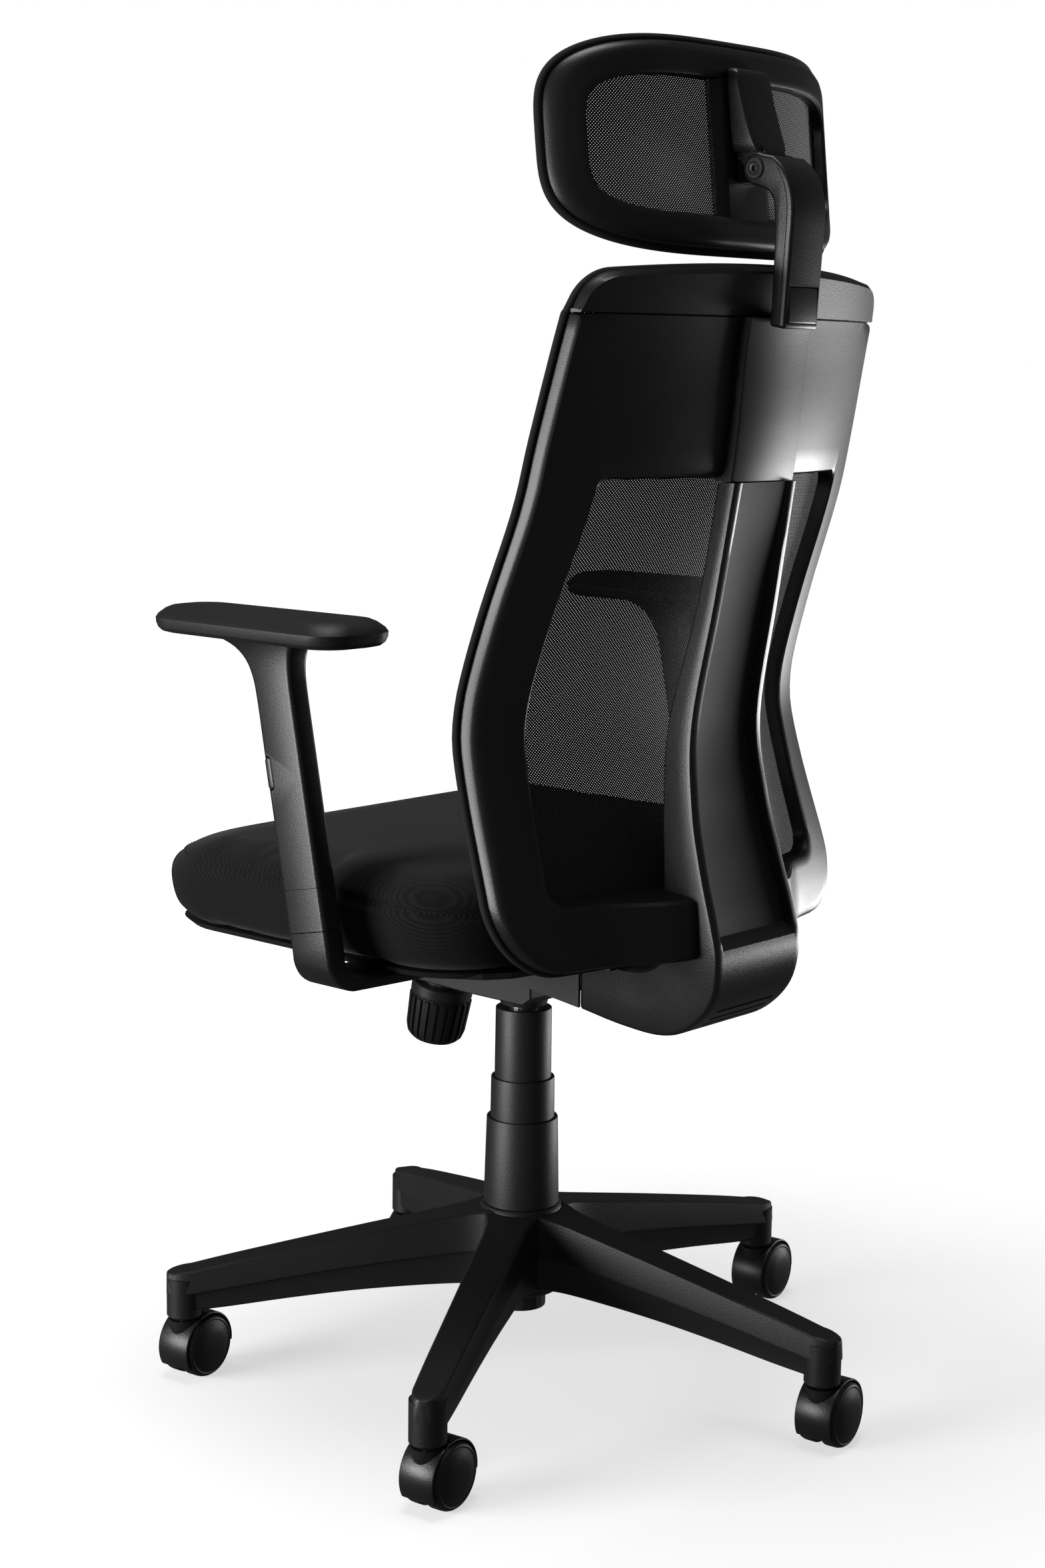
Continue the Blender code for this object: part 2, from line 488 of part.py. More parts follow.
# ---- mechanism -------------------------------------------------------------------------------------------
def mechanism(finishes, swivel, knob_body, lever_body, pin_body):
    """The housing on the column, with the knob, the lever and the tilt pin."""
    side = [(-0.1380, 0.4200), (-0.1330, 0.3880), (-0.1180, 0.3790), (-0.0300, 0.3760), (0.0400, 0.3760),
            (0.0500, 0.3830), (0.0500, 0.4060), (-0.0200, 0.4250), (-0.1200, 0.4250)]
    housing = new_piece("mech_housing", outline_mesh(side, 2 * HOUSING_HALF, "YZ"), finishes["black_steel"],
                        swivel)
    bevel(housing, 0.002, 1)
    boolean(housing, cylinder_mesh(0.0220, 0.3640, 0.3800, 24, 0.0260), "UNION")
    knob_turn = Matrix.Translation((0, KNOB_AXIS_Y, KNOB_TOP_Z)) @ Matrix.Rotation(-KNOB_TILT, 4, "X")
    boolean(housing, cylinder_mesh(0.0200, -0.0100, 0.0160, 20), "UNION", knob_turn)
    inside = HOUSING_HALF - HOUSING_WALL
    boolean(housing, box_mesh((-inside, -0.1280, 0.3830), (inside, 0.0460, 0.4400)))
    boolean(housing, cylinder_mesh(ROD_RADIUS + GAP, 0.3500, 0.4000))
    boolean(housing, cylinder_mesh(0.0044, -0.0300, 0.0400, 14), "DIFFERENCE", knob_turn)
    across = Matrix.Translation((0, PIVOT_Y, PIVOT_Z)) @ Matrix.Rotation(math.pi / 2, 4, "Y")
    boolean(housing, cylinder_mesh(PIN_RADIUS + GAP, -0.0600, 0.0600, 16), "DIFFERENCE", across)
    slot = box_mesh((-0.0600, PIVOT_Y - 0.0060, LEVER_Z - 0.0065),
                    (-0.0300, PIVOT_Y + 0.0060, LEVER_Z + 0.0120))
    boolean(housing, slot)
    pin = new_piece("tilt_pin", cylinder_mesh(PIN_RADIUS, -0.0580, 0.0580, 16), finishes["steel"], swivel)
    pin.data.transform(across)

    bolt = new_piece("tension_bolt", cylinder_mesh(0.0040, -KNOB_HEIGHT + 0.0065, 0.0280, 14),
                     finishes["steel"], knob_body)
    boolean(bolt, cylinder_mesh(0.0090, 0.0195, 0.0250, 6), "UNION")
    spring_turns, spring_points = 3, 9
    coil = []
    for i in range(spring_turns * spring_points + 1):
        turn = 2 * math.pi * i / spring_points
        height = -KNOB_HEIGHT + 0.0110 + (KNOB_HEIGHT - 0.0260) * i / (spring_turns * spring_points)
        coil.append((0.0130 * math.cos(turn), 0.0130 * math.sin(turn), height))
    spring = bpy.data.curves.new("tension_spring", "CURVE")
    spring.dimensions = "3D"
    spring.bevel_depth = 0.0020
    spring.bevel_resolution = 1
    spring.use_fill_caps = True
    line = spring.splines.new("POLY")
    line.points.add(len(coil) - 1)
    for point, place in zip(line.points, coil):
        point.co = (*place, 1)
    spring.materials.append(finishes["steel"])
    coil_piece = bpy.data.objects.new("tension_spring", spring)
    CHAIR.objects.link(coil_piece)
    coil_piece.parent = knob_body

    wall, foot = 0.0030, -KNOB_HEIGHT
    knob = turned("tension_knob", [(0.0210, 0), (KNOB_RADIUS - 0.0012, 0), (KNOB_RADIUS, -0.0012),
                                   (KNOB_RADIUS - 0.0005, -0.0120), (KNOB_RADIUS - 0.0022, foot + 0.0100),
                                   (KNOB_RADIUS - 0.0080, foot), (0.0045, foot), (0.0045, foot + wall),
                                   (KNOB_RADIUS - 0.0090, foot + wall), (KNOB_RADIUS - 0.0052, foot + 0.0120),
                                   (KNOB_RADIUS - 0.0045, -wall), (0.0210, -wall)],
                  finishes["plastic"], knob_body, steps=24)
    flutes = 10
    for i in range(flutes):
        angle = 2 * math.pi * i / flutes
        place = Matrix.Translation(((KNOB_RADIUS + 0.0010) * math.cos(angle),
                                    (KNOB_RADIUS + 0.0010) * math.sin(angle), 0))
        boolean(knob, cylinder_mesh(0.0022, foot - 0.0050, -0.0140, 4), "DIFFERENCE", place)

    lever = bpy.data.curves.new("height_lever", "CURVE")
    lever.dimensions = "3D"
    lever.bevel_depth = LEVER_RADIUS
    lever.bevel_resolution = 2
    lever.use_fill_caps = True
    hinge = Vector((-HOUSING_HALF + 0.0015, PIVOT_Y, LEVER_Z))
    route = [(0.0040, 0, 0.4110), (-0.0060, -0.0040, 0.4110), (-0.0240, -0.0250, 0.4060),
             (-0.0340, PIVOT_Y, 0.3950), (-0.0420, PIVOT_Y, LEVER_Z), (-0.0800, PIVOT_Y, LEVER_Z),
             (-0.1600, PIVOT_Y, LEVER_Z + 0.0060), (-LEVER_REACH + 0.0200, PIVOT_Y, LEVER_Z + 0.0080)]
    line = lever.splines.new("POLY")
    line.points.add(len(route) - 1)
    for point, place in zip(line.points, route):
        point.co = (*(Vector(place) - hinge), 1)
    lever.materials.append(finishes["steel"])
    rod = bpy.data.objects.new("height_lever", lever)
    CHAIR.objects.link(rod)
    rod.parent = lever_body
    paddle = new_piece("lever_paddle", box_mesh((-0.0300, -0.0130, -0.0050), (0.0240, 0.0130, 0.0050)),
                       finishes["plastic"], lever_body, Vector(route[-1]) - hinge)
    bevel(paddle, 0.0040, 2)
    inward = Vector(route[-2]) - Vector(route[-1])
    boolean(paddle, cylinder_mesh(LEVER_RADIUS + GAP, -0.0010, 0.0400, 14), "DIFFERENCE",
            Vector((0, 0, 1)).rotation_difference(inward).to_matrix().to_4x4())
    turned("valve_button", [(0, VALVE_TOP), (VALVE_RADIUS, VALVE_TOP), (VALVE_RADIUS, VALVE_BOTTOM),
                            (0, VALVE_BOTTOM)], finishes["steel"], pin_body, steps=14)


# ---- seat ------------------------------------------------------------------------------------------------
def seat(finishes, tilt):
    plate = new_piece("mech_plate", box_mesh((-PLATE_HALF, -0.1550, PLATE_BOTTOM),
                                             (PLATE_HALF, 0.1650, PLATE_BOTTOM + PLATE_THICK)),
                      finishes["black_steel"], tilt)
    flange = [(-0.1250, PLATE_BOTTOM + 0.001), (-0.1000, 0.4150), (-0.0550, 0.4030), (0.0300, 0.3980),
              (0.1110, 0.3880), (0.1110, PLATE_BOTTOM + 0.001)]
    for side_sign in (-1, 1):
        middle = side_sign * (FLANGE_INSIDE + FLANGE_THICK / 2)
        boolean(plate, outline_mesh(flange, FLANGE_THICK, "YZ"), "UNION", Matrix.Translation((middle, 0, 0)))
    across = Matrix.Translation((0, PIVOT_Y, PIVOT_Z)) @ Matrix.Rotation(math.pi / 2, 4, "Y")
    boolean(plate, cylinder_mesh(PIN_RADIUS + GAP, -0.0700, 0.0700, 16), "DIFFERENCE", across)

    pan_low = PLATE_BOTTOM + PLATE_THICK + GAP
    pan = new_piece("seat_pan", outline_mesh(
        rounded_rectangle(SEAT_HALF_WIDTH - PAN_INSET, SEAT_FRONT + PAN_INSET, SEAT_REAR - 0.0100,
                          SEAT_CORNER - 0.0200), PAN_THICK), finishes["plastic"], tilt)
    pan.data.transform(Matrix.Translation((0, 0, pan_low + PAN_THICK / 2)))
    cushion_low = pan_low + PAN_THICK + GAP
    tall = SEAT_TOP - cushion_low
    cushion = new_piece("seat_cushion", outline_mesh(
        rounded_rectangle(SEAT_HALF_WIDTH, SEAT_FRONT, SEAT_REAR, SEAT_CORNER, 6), tall),
        finishes["fabric"], tilt)
    cushion.data.transform(Matrix.Translation((0, 0, cushion_low + tall / 2)))
    bevel(cushion, 0.0260, 3)


# ---- back ------------------------------------------------------------------------------------------------
def back_row(height):
    """Half width, front edge y and curve depth of the back at a height."""
    return between(BACK_SMOOTH, height)[1:]


def back_point(x, z, rearward=0.0):
    half, edge, depth = back_row(z)
    return Vector((x, edge + depth * (1 - (x / half) ** 2) + rearward, z))


def back_top(x):
    """Height of the back's upper edge at x: a low crown with round corners."""
    half, flat = back_row(BACK_TOP)[0], back_row(BACK_TOP)[0] - BACK_CORNER_TOP
    crown = BACK_TOP - 0.010 * (x / half) ** 2
    over = max(abs(x) - flat, 0.0)
    return crown - BACK_CORNER_TOP + math.sqrt(max(BACK_CORNER_TOP ** 2 - over ** 2, 0.0))


def frame_side(inset, low, high, low_corner, high_corner, count=9):
    """Half an outline of the back, from the lower middle round the +X side to the upper middle."""
    def half_at(z):
        return back_row(z)[0] - inset
    low_at, high_at = half_at(low + low_corner) - low_corner, half_at(high - high_corner) - high_corner
    points = [(low_at * k / 4, low) for k in range(4)]
    points += arc(low_at, low + low_corner, low_corner, -90, 0, 5)[:-1]
    span = high - high_corner - low - low_corner
    for k in range(count):
        z = low + low_corner + span * k / (count - 1)
        points.append((half_at(z), z))
    points += arc(high_at, high - high_corner, high_corner, 0, 90, 4)[1:]
    points += [(high_at * k / 4, high) for k in (3, 2, 1, 0)]
    return points


def back(finishes, tilt):
    outer = frame_side(0.0, BACK_BOTTOM, SEAM_HEIGHT, BACK_CORNER_LOW, 0.0020)
    inner = frame_side(FRAME_BAND, WINDOW_BOTTOM, WINDOW_TOP, 0.0180, 0.0120)
    half = list(zip(outer, inner))
    ring = half + [((-a[0], a[1]), (-b[0], b[1])) for a, b in reversed(half[1:-1])]
    rows = []
    for (ox, oz), (ix, iz) in ring:
        rows.append([back_point(ox + (ix - ox) * k / 3, oz + (iz - oz) * k / 3) for k in range(4)])
    frame = new_piece("back_frame", strip_mesh(rows, True), finishes["plastic"], tilt)
    solidify(frame, FRAME_THICK)
    bevel(frame, 0.0040, 1, 50)
    band = []
    for k in range(4):
        z = WINDOW_TOP + 0.0002 + (SEAM_HEIGHT - 0.0004 - WINDOW_TOP) * k / 3
        band.append([back_point(0, z, FRAME_THICK + BAND_PROUD) + Vector((x, y, 0)) for x, y in (
            (-BAND_HALF, -BAND_PROUD - 0.008), (-BAND_HALF, -0.002), (-BAND_HALF + 0.003, 0),
            (BAND_HALF - 0.003, 0), (BAND_HALF, -0.002), (BAND_HALF, -BAND_PROUD - 0.008))])
    boolean(frame, loft_mesh(band), "UNION")
    widest = max(row[4] for row in SPINE_ROWS)
    boolean(frame, box_mesh((-widest - GAP, 0.1000, BACK_BOTTOM - 0.02),
                            (widest + GAP, 0.3000, WINDOW_BOTTOM + 0.0300)))

    reach = back_row(SEAM_HEIGHT)[0]
    stations = [-1 + 2 * k / 16 for k in range(17)]
    cap_rows = []
    for share in stations:
        low = SEAM_HEIGHT + GAP
        section = []
        for z, rearward in ((low, 0), (low, FRAME_THICK), (None, FRAME_THICK - 0.004), (None, 0.004)):
            x = share * (reach - 0.0010)
            height = low if z is not None else max(back_top(x), low + 0.0020)
            section.append(back_point(x, height, rearward))
        cap_rows.append(section)
    bevel(new_piece("back_cap", loft_mesh(cap_rows), finishes["plastic"], tilt), 0.0020, 1, 50)

    mesh_rows = []
    for k in range(16):
        share = k / 15
        row = []
        for j in range(11):
            across = -1 + 2 * j / 10
            x = across * (back_row(BACK_BOTTOM + (BACK_TOP - BACK_BOTTOM) * share)[0] - 0.003)
            over = max(abs(x) - (back_row(BACK_BOTTOM)[0] - 0.003 - BACK_CORNER_LOW), 0.0)
            rise = BACK_CORNER_LOW - math.sqrt(max(BACK_CORNER_LOW ** 2 - over ** 2, 0.0))
            low = BACK_BOTTOM + 0.003 + rise
            z = low + (back_top(x) - 0.003 - low) * share
            row.append(back_point(x, z, -MESH_CLEAR))
        mesh_rows.append(row)
    solidify(new_piece("back_mesh", strip_mesh(mesh_rows), finishes["mesh"], tilt), MESH_THICK, -1.0)

    sections = []
    for rear_y, rear_z, front_y, front_z, half_width, channel in smooth_rows(SPINE_ROWS, 2):
        rear, front = Vector((0, rear_y, rear_z)), Vector((0, front_y, front_z))
        inward = (front - rear).normalized()
        outline = [(-half_width + 0.006, rear), (-half_width + SPINE_RIM, rear),
                   (-half_width + SPINE_RIM + 0.004, rear + inward * channel),
                   (half_width - SPINE_RIM - 0.004, rear + inward * channel),
                   (half_width - SPINE_RIM, rear), (half_width - 0.006, rear),
                   (half_width, rear + inward * 0.006), (half_width, front), (-half_width, front),
                   (-half_width, rear + inward * 0.006)]
        sections.append([place + Vector((x, 0, 0)) for x, place in outline])
    new_piece("spine", loft_mesh(sections), finishes["plastic"], tilt)


# ---- armrests --------------------------------------------------------------------------------------------
def oval_section(half_x, half_y, z, corner=0.35):
    """Eight points of a rectangle with cut corners."""
    cut = min(half_x, half_y) * corner
    return [Vector((x, y, z)) for x, y in (
        (half_x, half_y - cut), (half_x - cut, half_y), (-half_x + cut, half_y),
        (-half_x, half_y - cut), (-half_x, -half_y + cut), (-half_x + cut, -half_y),
        (half_x - cut, -half_y), (half_x, -half_y + cut))]


def armrest(side, side_sign, finishes, tilt, slide, button_body):
    """The slide's frame has its z up the leaning post, so the upright is modelled along z."""
    wide, deep = SLEEVE_WIDE / 2, SLEEVE_DEEP / 2
    foot = Vector((side_sign * ARM_X, ARM_Y, ARM_Z))
    lean = Matrix.Rotation(ARM_LEAN, 3, "X")

    # bracket: from the post's foot down, round the bend and in under the seat
    low = PLATE_BOTTOM + PLATE_THICK - 0.0006 - BRACKET_THICK
    sections = []
    for depth in (0.0, -0.0120):
        sections.append([Vector((ARM_X, ARM_Y, ARM_Z)) + lean @ p for p in oval_section(wide, deep, depth)])
    radius = 0.0270
    centre_x, centre_z = ARM_X + wide - radius, low + radius
    for angle in (-20, -45, -70):
        turned_by = math.radians(angle)
        outer = (centre_x + radius * math.cos(turned_by), centre_z + radius * math.sin(turned_by))
        inner_radius = radius - 0.0220 + 0.0105 * abs(angle) / 90
        inner = (centre_x + inner_radius * math.cos(turned_by),
                 centre_z + inner_radius * math.sin(turned_by))
        sections.append(bracket_section(outer, inner, deep, 0.0085 + 0.004 * abs(angle) / 90))
    for x in (ARM_X - 0.060, 0.150, BRACKET_INNER):
        wider = 0.010 if x < ARM_X - 0.070 else 0.002
        sections.append(bracket_section((x, low), (x, low + BRACKET_THICK), deep + wider, 0.0150))
    mirrored = [[Vector((side_sign * p.x, p.y, p.z)) for p in section] for section in sections]
    new_piece("arm_bracket_" + side, loft_mesh(mirrored), finishes["plastic"], tilt)

    collar = loft_mesh([oval_section(wide, deep, GAP), oval_section(wide, deep, COLLAR_TALL)])
    post = new_piece("arm_post_" + side, collar, finishes["plastic"], tilt, foot, (ARM_LEAN, 0, 0))
    boolean(post, box_mesh((-POST_WIDE / 2, -POST_DEEP / 2, COLLAR_TALL - 0.01),
                           (POST_WIDE / 2, POST_DEEP / 2, POST_TALL)), "UNION")

    low, high = COLLAR_TALL + GAP, COLLAR_TALL + SLEEVE_TALL
    profile = [(low, wide, deep), (high - 0.060, wide, deep), (high - 0.040, wide + 0.001, deep + 0.005),
               (high - 0.026, wide + 0.005, deep + 0.015), (high, wide + 0.014, deep + 0.038)]
    sleeve = new_piece("arm_sleeve_" + side, loft_mesh([oval_section(a, b, z) for z, a, b in profile]),
                       finishes["plastic"], slide)
    sleeve.data.transform(Matrix.Translation((0, 0, -COLLAR_TALL)))
    boolean(sleeve, box_mesh((-POST_WIDE / 2 - GAP, -POST_DEEP / 2 - GAP, -0.01),
                             (POST_WIDE / 2 + GAP, POST_DEEP / 2 + GAP, POST_TALL - COLLAR_TALL + 0.006)))
    recess = sorted((side_sign * (wide - 0.0066), side_sign * (wide + 0.0100)))
    boolean(sleeve, box_mesh((recess[0], -deep - 0.01, BUTTON_Z - 0.0150),
                             (recess[1], -deep + 0.0085, BUTTON_Z + 0.0150)))
    cap = sorted((side_sign * (wide - 0.0038), side_sign * (wide - 0.0002)))
    button = new_piece("arm_button_" + side, box_mesh((cap[0], -0.0038, -0.0140), (cap[1], 0.0038, 0.0140)),
                       finishes["plastic"], button_body)
    bevel(button, 0.0012, 1)

    front = [(-PAD_HALF_WIDTH + 0.022, PAD_FRONT), (PAD_HALF_WIDTH - 0.022, PAD_FRONT),
             (PAD_HALF_WIDTH, PAD_FRONT + 0.030), (PAD_HALF_WIDTH, PAD_REAR - 0.020),
             (PAD_HALF_WIDTH - 0.018, PAD_REAR), (-PAD_HALF_WIDTH + 0.018, PAD_REAR),
             (-PAD_HALF_WIDTH, PAD_REAR - 0.020), (-PAD_HALF_WIDTH, PAD_FRONT + 0.030)]
    pad = new_piece("arm_pad_" + side, outline_mesh(front, PAD_THICK), finishes["foam_pad"], slide)
    pad_place = Matrix.Translation((side_sign * ARM_X, 0, PAD_TOP - PAD_THICK / 2))
    flat = slide.matrix_basis.inverted() @ pad_place
    pad.data.transform(flat)
    bevel(pad, 0.0070, 2)
    # the sleeve's flared head stops under the level pad
    under = box_mesh((-0.2, -0.4, PAD_TOP - PAD_THICK - GAP), (0.2, 0.4, PAD_TOP + 0.2))
    level = slide.matrix_basis.inverted() @ Matrix.Translation((side_sign * ARM_X, 0, 0))
    boolean(sleeve, under, "DIFFERENCE", level)


def bracket_section(outer, inner, half_depth, middle_y):
    """Eight points across the bracket, between its outer and inner faces."""
    edge = 0.003
    outer, inner = Vector((outer[0], 0, outer[1])), Vector((inner[0], 0, inner[1]))
    across = (inner - outer).normalized() * edge
    places = [(half_depth - edge, outer), (half_depth, outer + across), (half_depth, inner - across),
              (half_depth - edge, inner)]
    places += [(-y, place) for y, place in reversed(places)]
    return [place + Vector((0, middle_y + y, 0)) for y, place in places]


# ---- headrest --------------------------------------------------------------------------------------------
def headrest(finishes, slide, head, button_body):
    post = [(0.2932, POST_BOTTOM), (0.2975, 1.0600), (0.2985, 1.0900), (0.2930, 1.1080), (0.2780, 1.1210)]
    post += arc(HEAD_PIVOT_Y, HEAD_PIVOT_Z, 0.0130, 70, 250, 8)
    post += [(0.2700, 1.0960), (0.2790, 1.0840), (0.2800, 1.0600), (0.2790, 1.0080),
             (0.2775, POST_BOTTOM + 0.0030)]
    upright = new_piece("headrest_post", outline_mesh(list(reversed(post)), 2 * POST_HALF, "YZ"),
                        finishes["plastic"], slide)
    bevel(upright, 0.0030, 1)
    fork = KNUCKLE_HALF + 0.0005
    boolean(upright, box_mesh((-fork, HEAD_PIVOT_Y - 0.03, HEAD_PIVOT_Z - KNUCKLE_RADIUS - 0.0050),
                              (fork, HEAD_PIVOT_Y + KNUCKLE_RADIUS + 0.0035, HEAD_PIVOT_Z + 0.03)))
    across = Matrix.Translation((0, HEAD_PIVOT_Y, HEAD_PIVOT_Z)) @ Matrix.Rotation(math.pi / 2, 4, "Y")
    boolean(upright, cylinder_mesh(SCREW_RADIUS + GAP, -0.05, 0.05, 14), "DIFFERENCE", across)
    boolean(upright, box_mesh((-RELEASE_HALF - GAP, RELEASE_FRONT - RELEASE_TRAVEL, RELEASE_LOW - GAP),
                              (RELEASE_HALF + GAP, RELEASE_REAR + 0.0150, RELEASE_HIGH + GAP)))
    button = new_piece("post_button", box_mesh((-RELEASE_HALF, RELEASE_FRONT, RELEASE_LOW),
                                               (RELEASE_HALF, RELEASE_REAR, RELEASE_HIGH)),
                       finishes["plastic"], button_body)
    bevel(button, 0.0012, 1)
    screw = new_piece("headrest_screw",
                      cylinder_mesh(SCREW_RADIUS, -POST_HALF - 0.0005, POST_HALF + 0.0005, 14),
                      finishes["steel"], slide)
    screw.data.transform(across)

    # bracket: a knuckle on the screw and a plate up the middle of the headrest
    bracket = new_piece("headrest_bracket", cylinder_mesh(KNUCKLE_RADIUS, -KNUCKLE_HALF, KNUCKLE_HALF, 20),
                        finishes["plastic"], head)
    bracket.data.transform(Matrix.Rotation(math.pi / 2, 4, "Y"))
    bracket_rows = [head_row(z) for z in (1.1030, 1.1250, 1.1550, 1.1880)]
    plate_rows = []
    for (x, y, z), thick in zip(bracket_rows, (0.0300, 0.0310, 0.0200, 0.0140)):
        plate_rows.append([Vector((sx, y + HEAD_THICK + GAP + dy, z)) for sx, dy in (
            (-KNUCKLE_HALF, 0), (KNUCKLE_HALF, 0), (KNUCKLE_HALF, thick), (-KNUCKLE_HALF, thick))])
    boolean(bracket, loft_mesh(plate_rows), "UNION")
    boolean(bracket, cylinder_mesh(SCREW_RADIUS + GAP, -0.05, 0.05, 14), "DIFFERENCE",
            Matrix.Rotation(math.pi / 2, 4, "Y"))

    outer, inner = [], []
    count = 36
    for k in range(count):
        a = 2 * math.pi * k / count
        cx, cz = math.cos(a), math.sin(a)
        outer.append((HEAD_HALF_WIDTH * math.copysign(abs(cx) ** HEAD_CORNER_POWER, cx),
                      HEAD_HALF_HEIGHT * math.copysign(abs(cz) ** HEAD_CORNER_POWER, cz)))
        inner.append(((HEAD_HALF_WIDTH - HEAD_SIDE_BAND) * math.copysign(abs(cx) ** 0.55, cx),
                      (HEAD_HALF_HEIGHT - HEAD_BAND * 0.90) * math.copysign(abs(cz) ** 0.55, cz)))
    rows = [[head_point(ox + (ix - ox) * k / 2, oz + (iz - oz) * k / 2) for k in range(3)]
            for (ox, oz), (ix, iz) in zip(outer, inner)]
    frame = new_piece("headrest_frame", strip_mesh(rows, True), finishes["plastic"], head)
    solidify(frame, HEAD_THICK)
    bevel(frame, 0.0030, 1, 50)
    mullion = []
    for k in range(7):
        z = (-1 + 2 * k / 6) * (HEAD_HALF_HEIGHT - HEAD_BAND * 0.6)
        mullion.append([head_point(x, z, d) for x, d in (
            (-HEAD_MULLION, 0.002), (HEAD_MULLION, 0.002), (HEAD_MULLION, HEAD_THICK - 0.001),
            (-HEAD_MULLION, HEAD_THICK - 0.001))])
    boolean(frame, loft_mesh(mullion), "UNION")
    pad_rows = []
    for k in range(9):
        share = -1 + 2 * k / 8
        z = share * (HEAD_HALF_HEIGHT - 0.004)
        reach = (HEAD_HALF_WIDTH - 0.004) * (1 - (abs(share) * 0.97) ** 3.2) ** (1 / 3.2)
        pad_rows.append([head_point(reach * (-1 + 2 * j / 10), z, -MESH_CLEAR) for j in range(11)])
    solidify(new_piece("headrest_mesh", strip_mesh(pad_rows), finishes["mesh"], head), MESH_THICK, -1.0)


def head_point(x, up, rearward=0.0):
    """A point of the headrest's curved face, with up measured along its leaning height."""
    y = HEAD_MID_Y - up * math.sin(HEAD_LEAN) - HEAD_WRAP * (abs(x) / HEAD_HALF_WIDTH) ** HEAD_WRAP_POWER
    z = HEAD_MID_Z + up * math.cos(HEAD_LEAN)
    return Vector((x, y + rearward, z)) - Vector((0, HEAD_PIVOT_Y, HEAD_PIVOT_Z))


def head_row(z):
    return head_point(0, (z - HEAD_MID_Z) / math.cos(HEAD_LEAN))


# ---- the whole chair -------------------------------------------------------------------------------------
def build():
    finishes = make_finishes()
    root = empty("base", None, (COLUMN_X, COLUMN_Y, 0))
    middle = empty("column_middle", root)
    lift = empty("column_lift", root)
    swivel = empty("swivel", lift)
    knob_body = empty("knob_axis", swivel, (0, KNOB_AXIS_Y, KNOB_TOP_Z), (-KNOB_TILT, 0, 0))
    lever_body = empty("lever_axis", swivel, (-HOUSING_HALF + 0.0015, PIVOT_Y, LEVER_Z))
    pin_body = empty("valve_axis", lift)
    tilt = empty("tilt", swivel)
    star_base(finishes["nylon"], root)
    for number in range(LEGS):
        caster(number, finishes, root)
    column(finishes, root, middle, lift)
    mechanism(finishes, swivel, knob_body, lever_body, pin_body)
    seat(finishes, tilt)
    back(finishes, tilt)
    for side, side_sign in (("left", 1), ("right", -1)):
        up_the_post = Matrix.Rotation(ARM_LEAN, 3, "X") @ Vector((0, 0, COLLAR_TALL))
        foot = Vector((side_sign * ARM_X, ARM_Y, ARM_Z)) + up_the_post
        slide = empty("arm_slide_" + side, tilt, foot, (ARM_LEAN, 0, 0))
        button_body = empty("arm_button_axis_" + side, slide, (0, -SLEEVE_DEEP / 2 + 0.0044, BUTTON_Z))
        armrest(side, side_sign, finishes, tilt, slide, button_body)
    post_slide = empty("headrest_slide", tilt)
    head = empty("headrest_tilt", post_slide, (0, HEAD_PIVOT_Y, HEAD_PIVOT_Z))
    post_button = empty("post_button_axis", post_slide)
    headrest(finishes, post_slide, head, post_button)


build()
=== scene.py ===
# %% [markdown]
# # A swivel office chair, seen from behind
# The chair has a five-legged base on casters, a gas column, a fabric seat, a curved back of stretched mesh
# on a bent spine, two armrests and a small headrest. The simple solids of every part are loaded first: they
# give the places, the moving bodies and the joints. Each cell after that makes one part with its real shape.

# %% Load the frame
import math
import bmesh
import bpy
from mathutils import Matrix, Vector
from mathutils.bvhtree import BVHTree


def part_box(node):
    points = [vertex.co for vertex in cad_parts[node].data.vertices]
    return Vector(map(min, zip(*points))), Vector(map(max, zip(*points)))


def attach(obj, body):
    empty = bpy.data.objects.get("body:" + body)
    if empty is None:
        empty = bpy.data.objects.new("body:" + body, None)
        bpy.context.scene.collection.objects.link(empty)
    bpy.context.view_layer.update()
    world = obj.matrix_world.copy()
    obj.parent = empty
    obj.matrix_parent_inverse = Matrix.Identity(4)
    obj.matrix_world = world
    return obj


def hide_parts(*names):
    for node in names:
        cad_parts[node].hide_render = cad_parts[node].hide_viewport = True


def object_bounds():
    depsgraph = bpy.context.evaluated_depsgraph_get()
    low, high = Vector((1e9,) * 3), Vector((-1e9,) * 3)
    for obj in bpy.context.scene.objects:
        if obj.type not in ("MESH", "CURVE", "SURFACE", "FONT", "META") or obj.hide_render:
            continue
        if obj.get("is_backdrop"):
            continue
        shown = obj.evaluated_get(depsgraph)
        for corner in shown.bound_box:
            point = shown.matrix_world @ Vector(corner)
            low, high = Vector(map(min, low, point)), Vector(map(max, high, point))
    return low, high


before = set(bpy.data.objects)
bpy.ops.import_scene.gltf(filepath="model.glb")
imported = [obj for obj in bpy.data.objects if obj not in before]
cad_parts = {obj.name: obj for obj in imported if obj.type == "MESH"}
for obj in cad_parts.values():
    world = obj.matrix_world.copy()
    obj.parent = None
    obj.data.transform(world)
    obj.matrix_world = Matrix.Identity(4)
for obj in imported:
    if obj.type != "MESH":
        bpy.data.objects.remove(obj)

CAD_BOX = [[round(n, 5) for n in corner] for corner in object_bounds()]
low_rod, high_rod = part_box("gas_rod")
COLUMN = Vector(((low_rod[0] + high_rod[0]) / 2, (low_rod[1] + high_rod[1]) / 2, 0))

# %% [markdown]
# ## Small helpers
# All parts are drawn from the column's axis and moved to their place at the end. A skin through a row of
# sections is the natural way to draw moulded plastic, because a mould's drawing is a row of sections too.


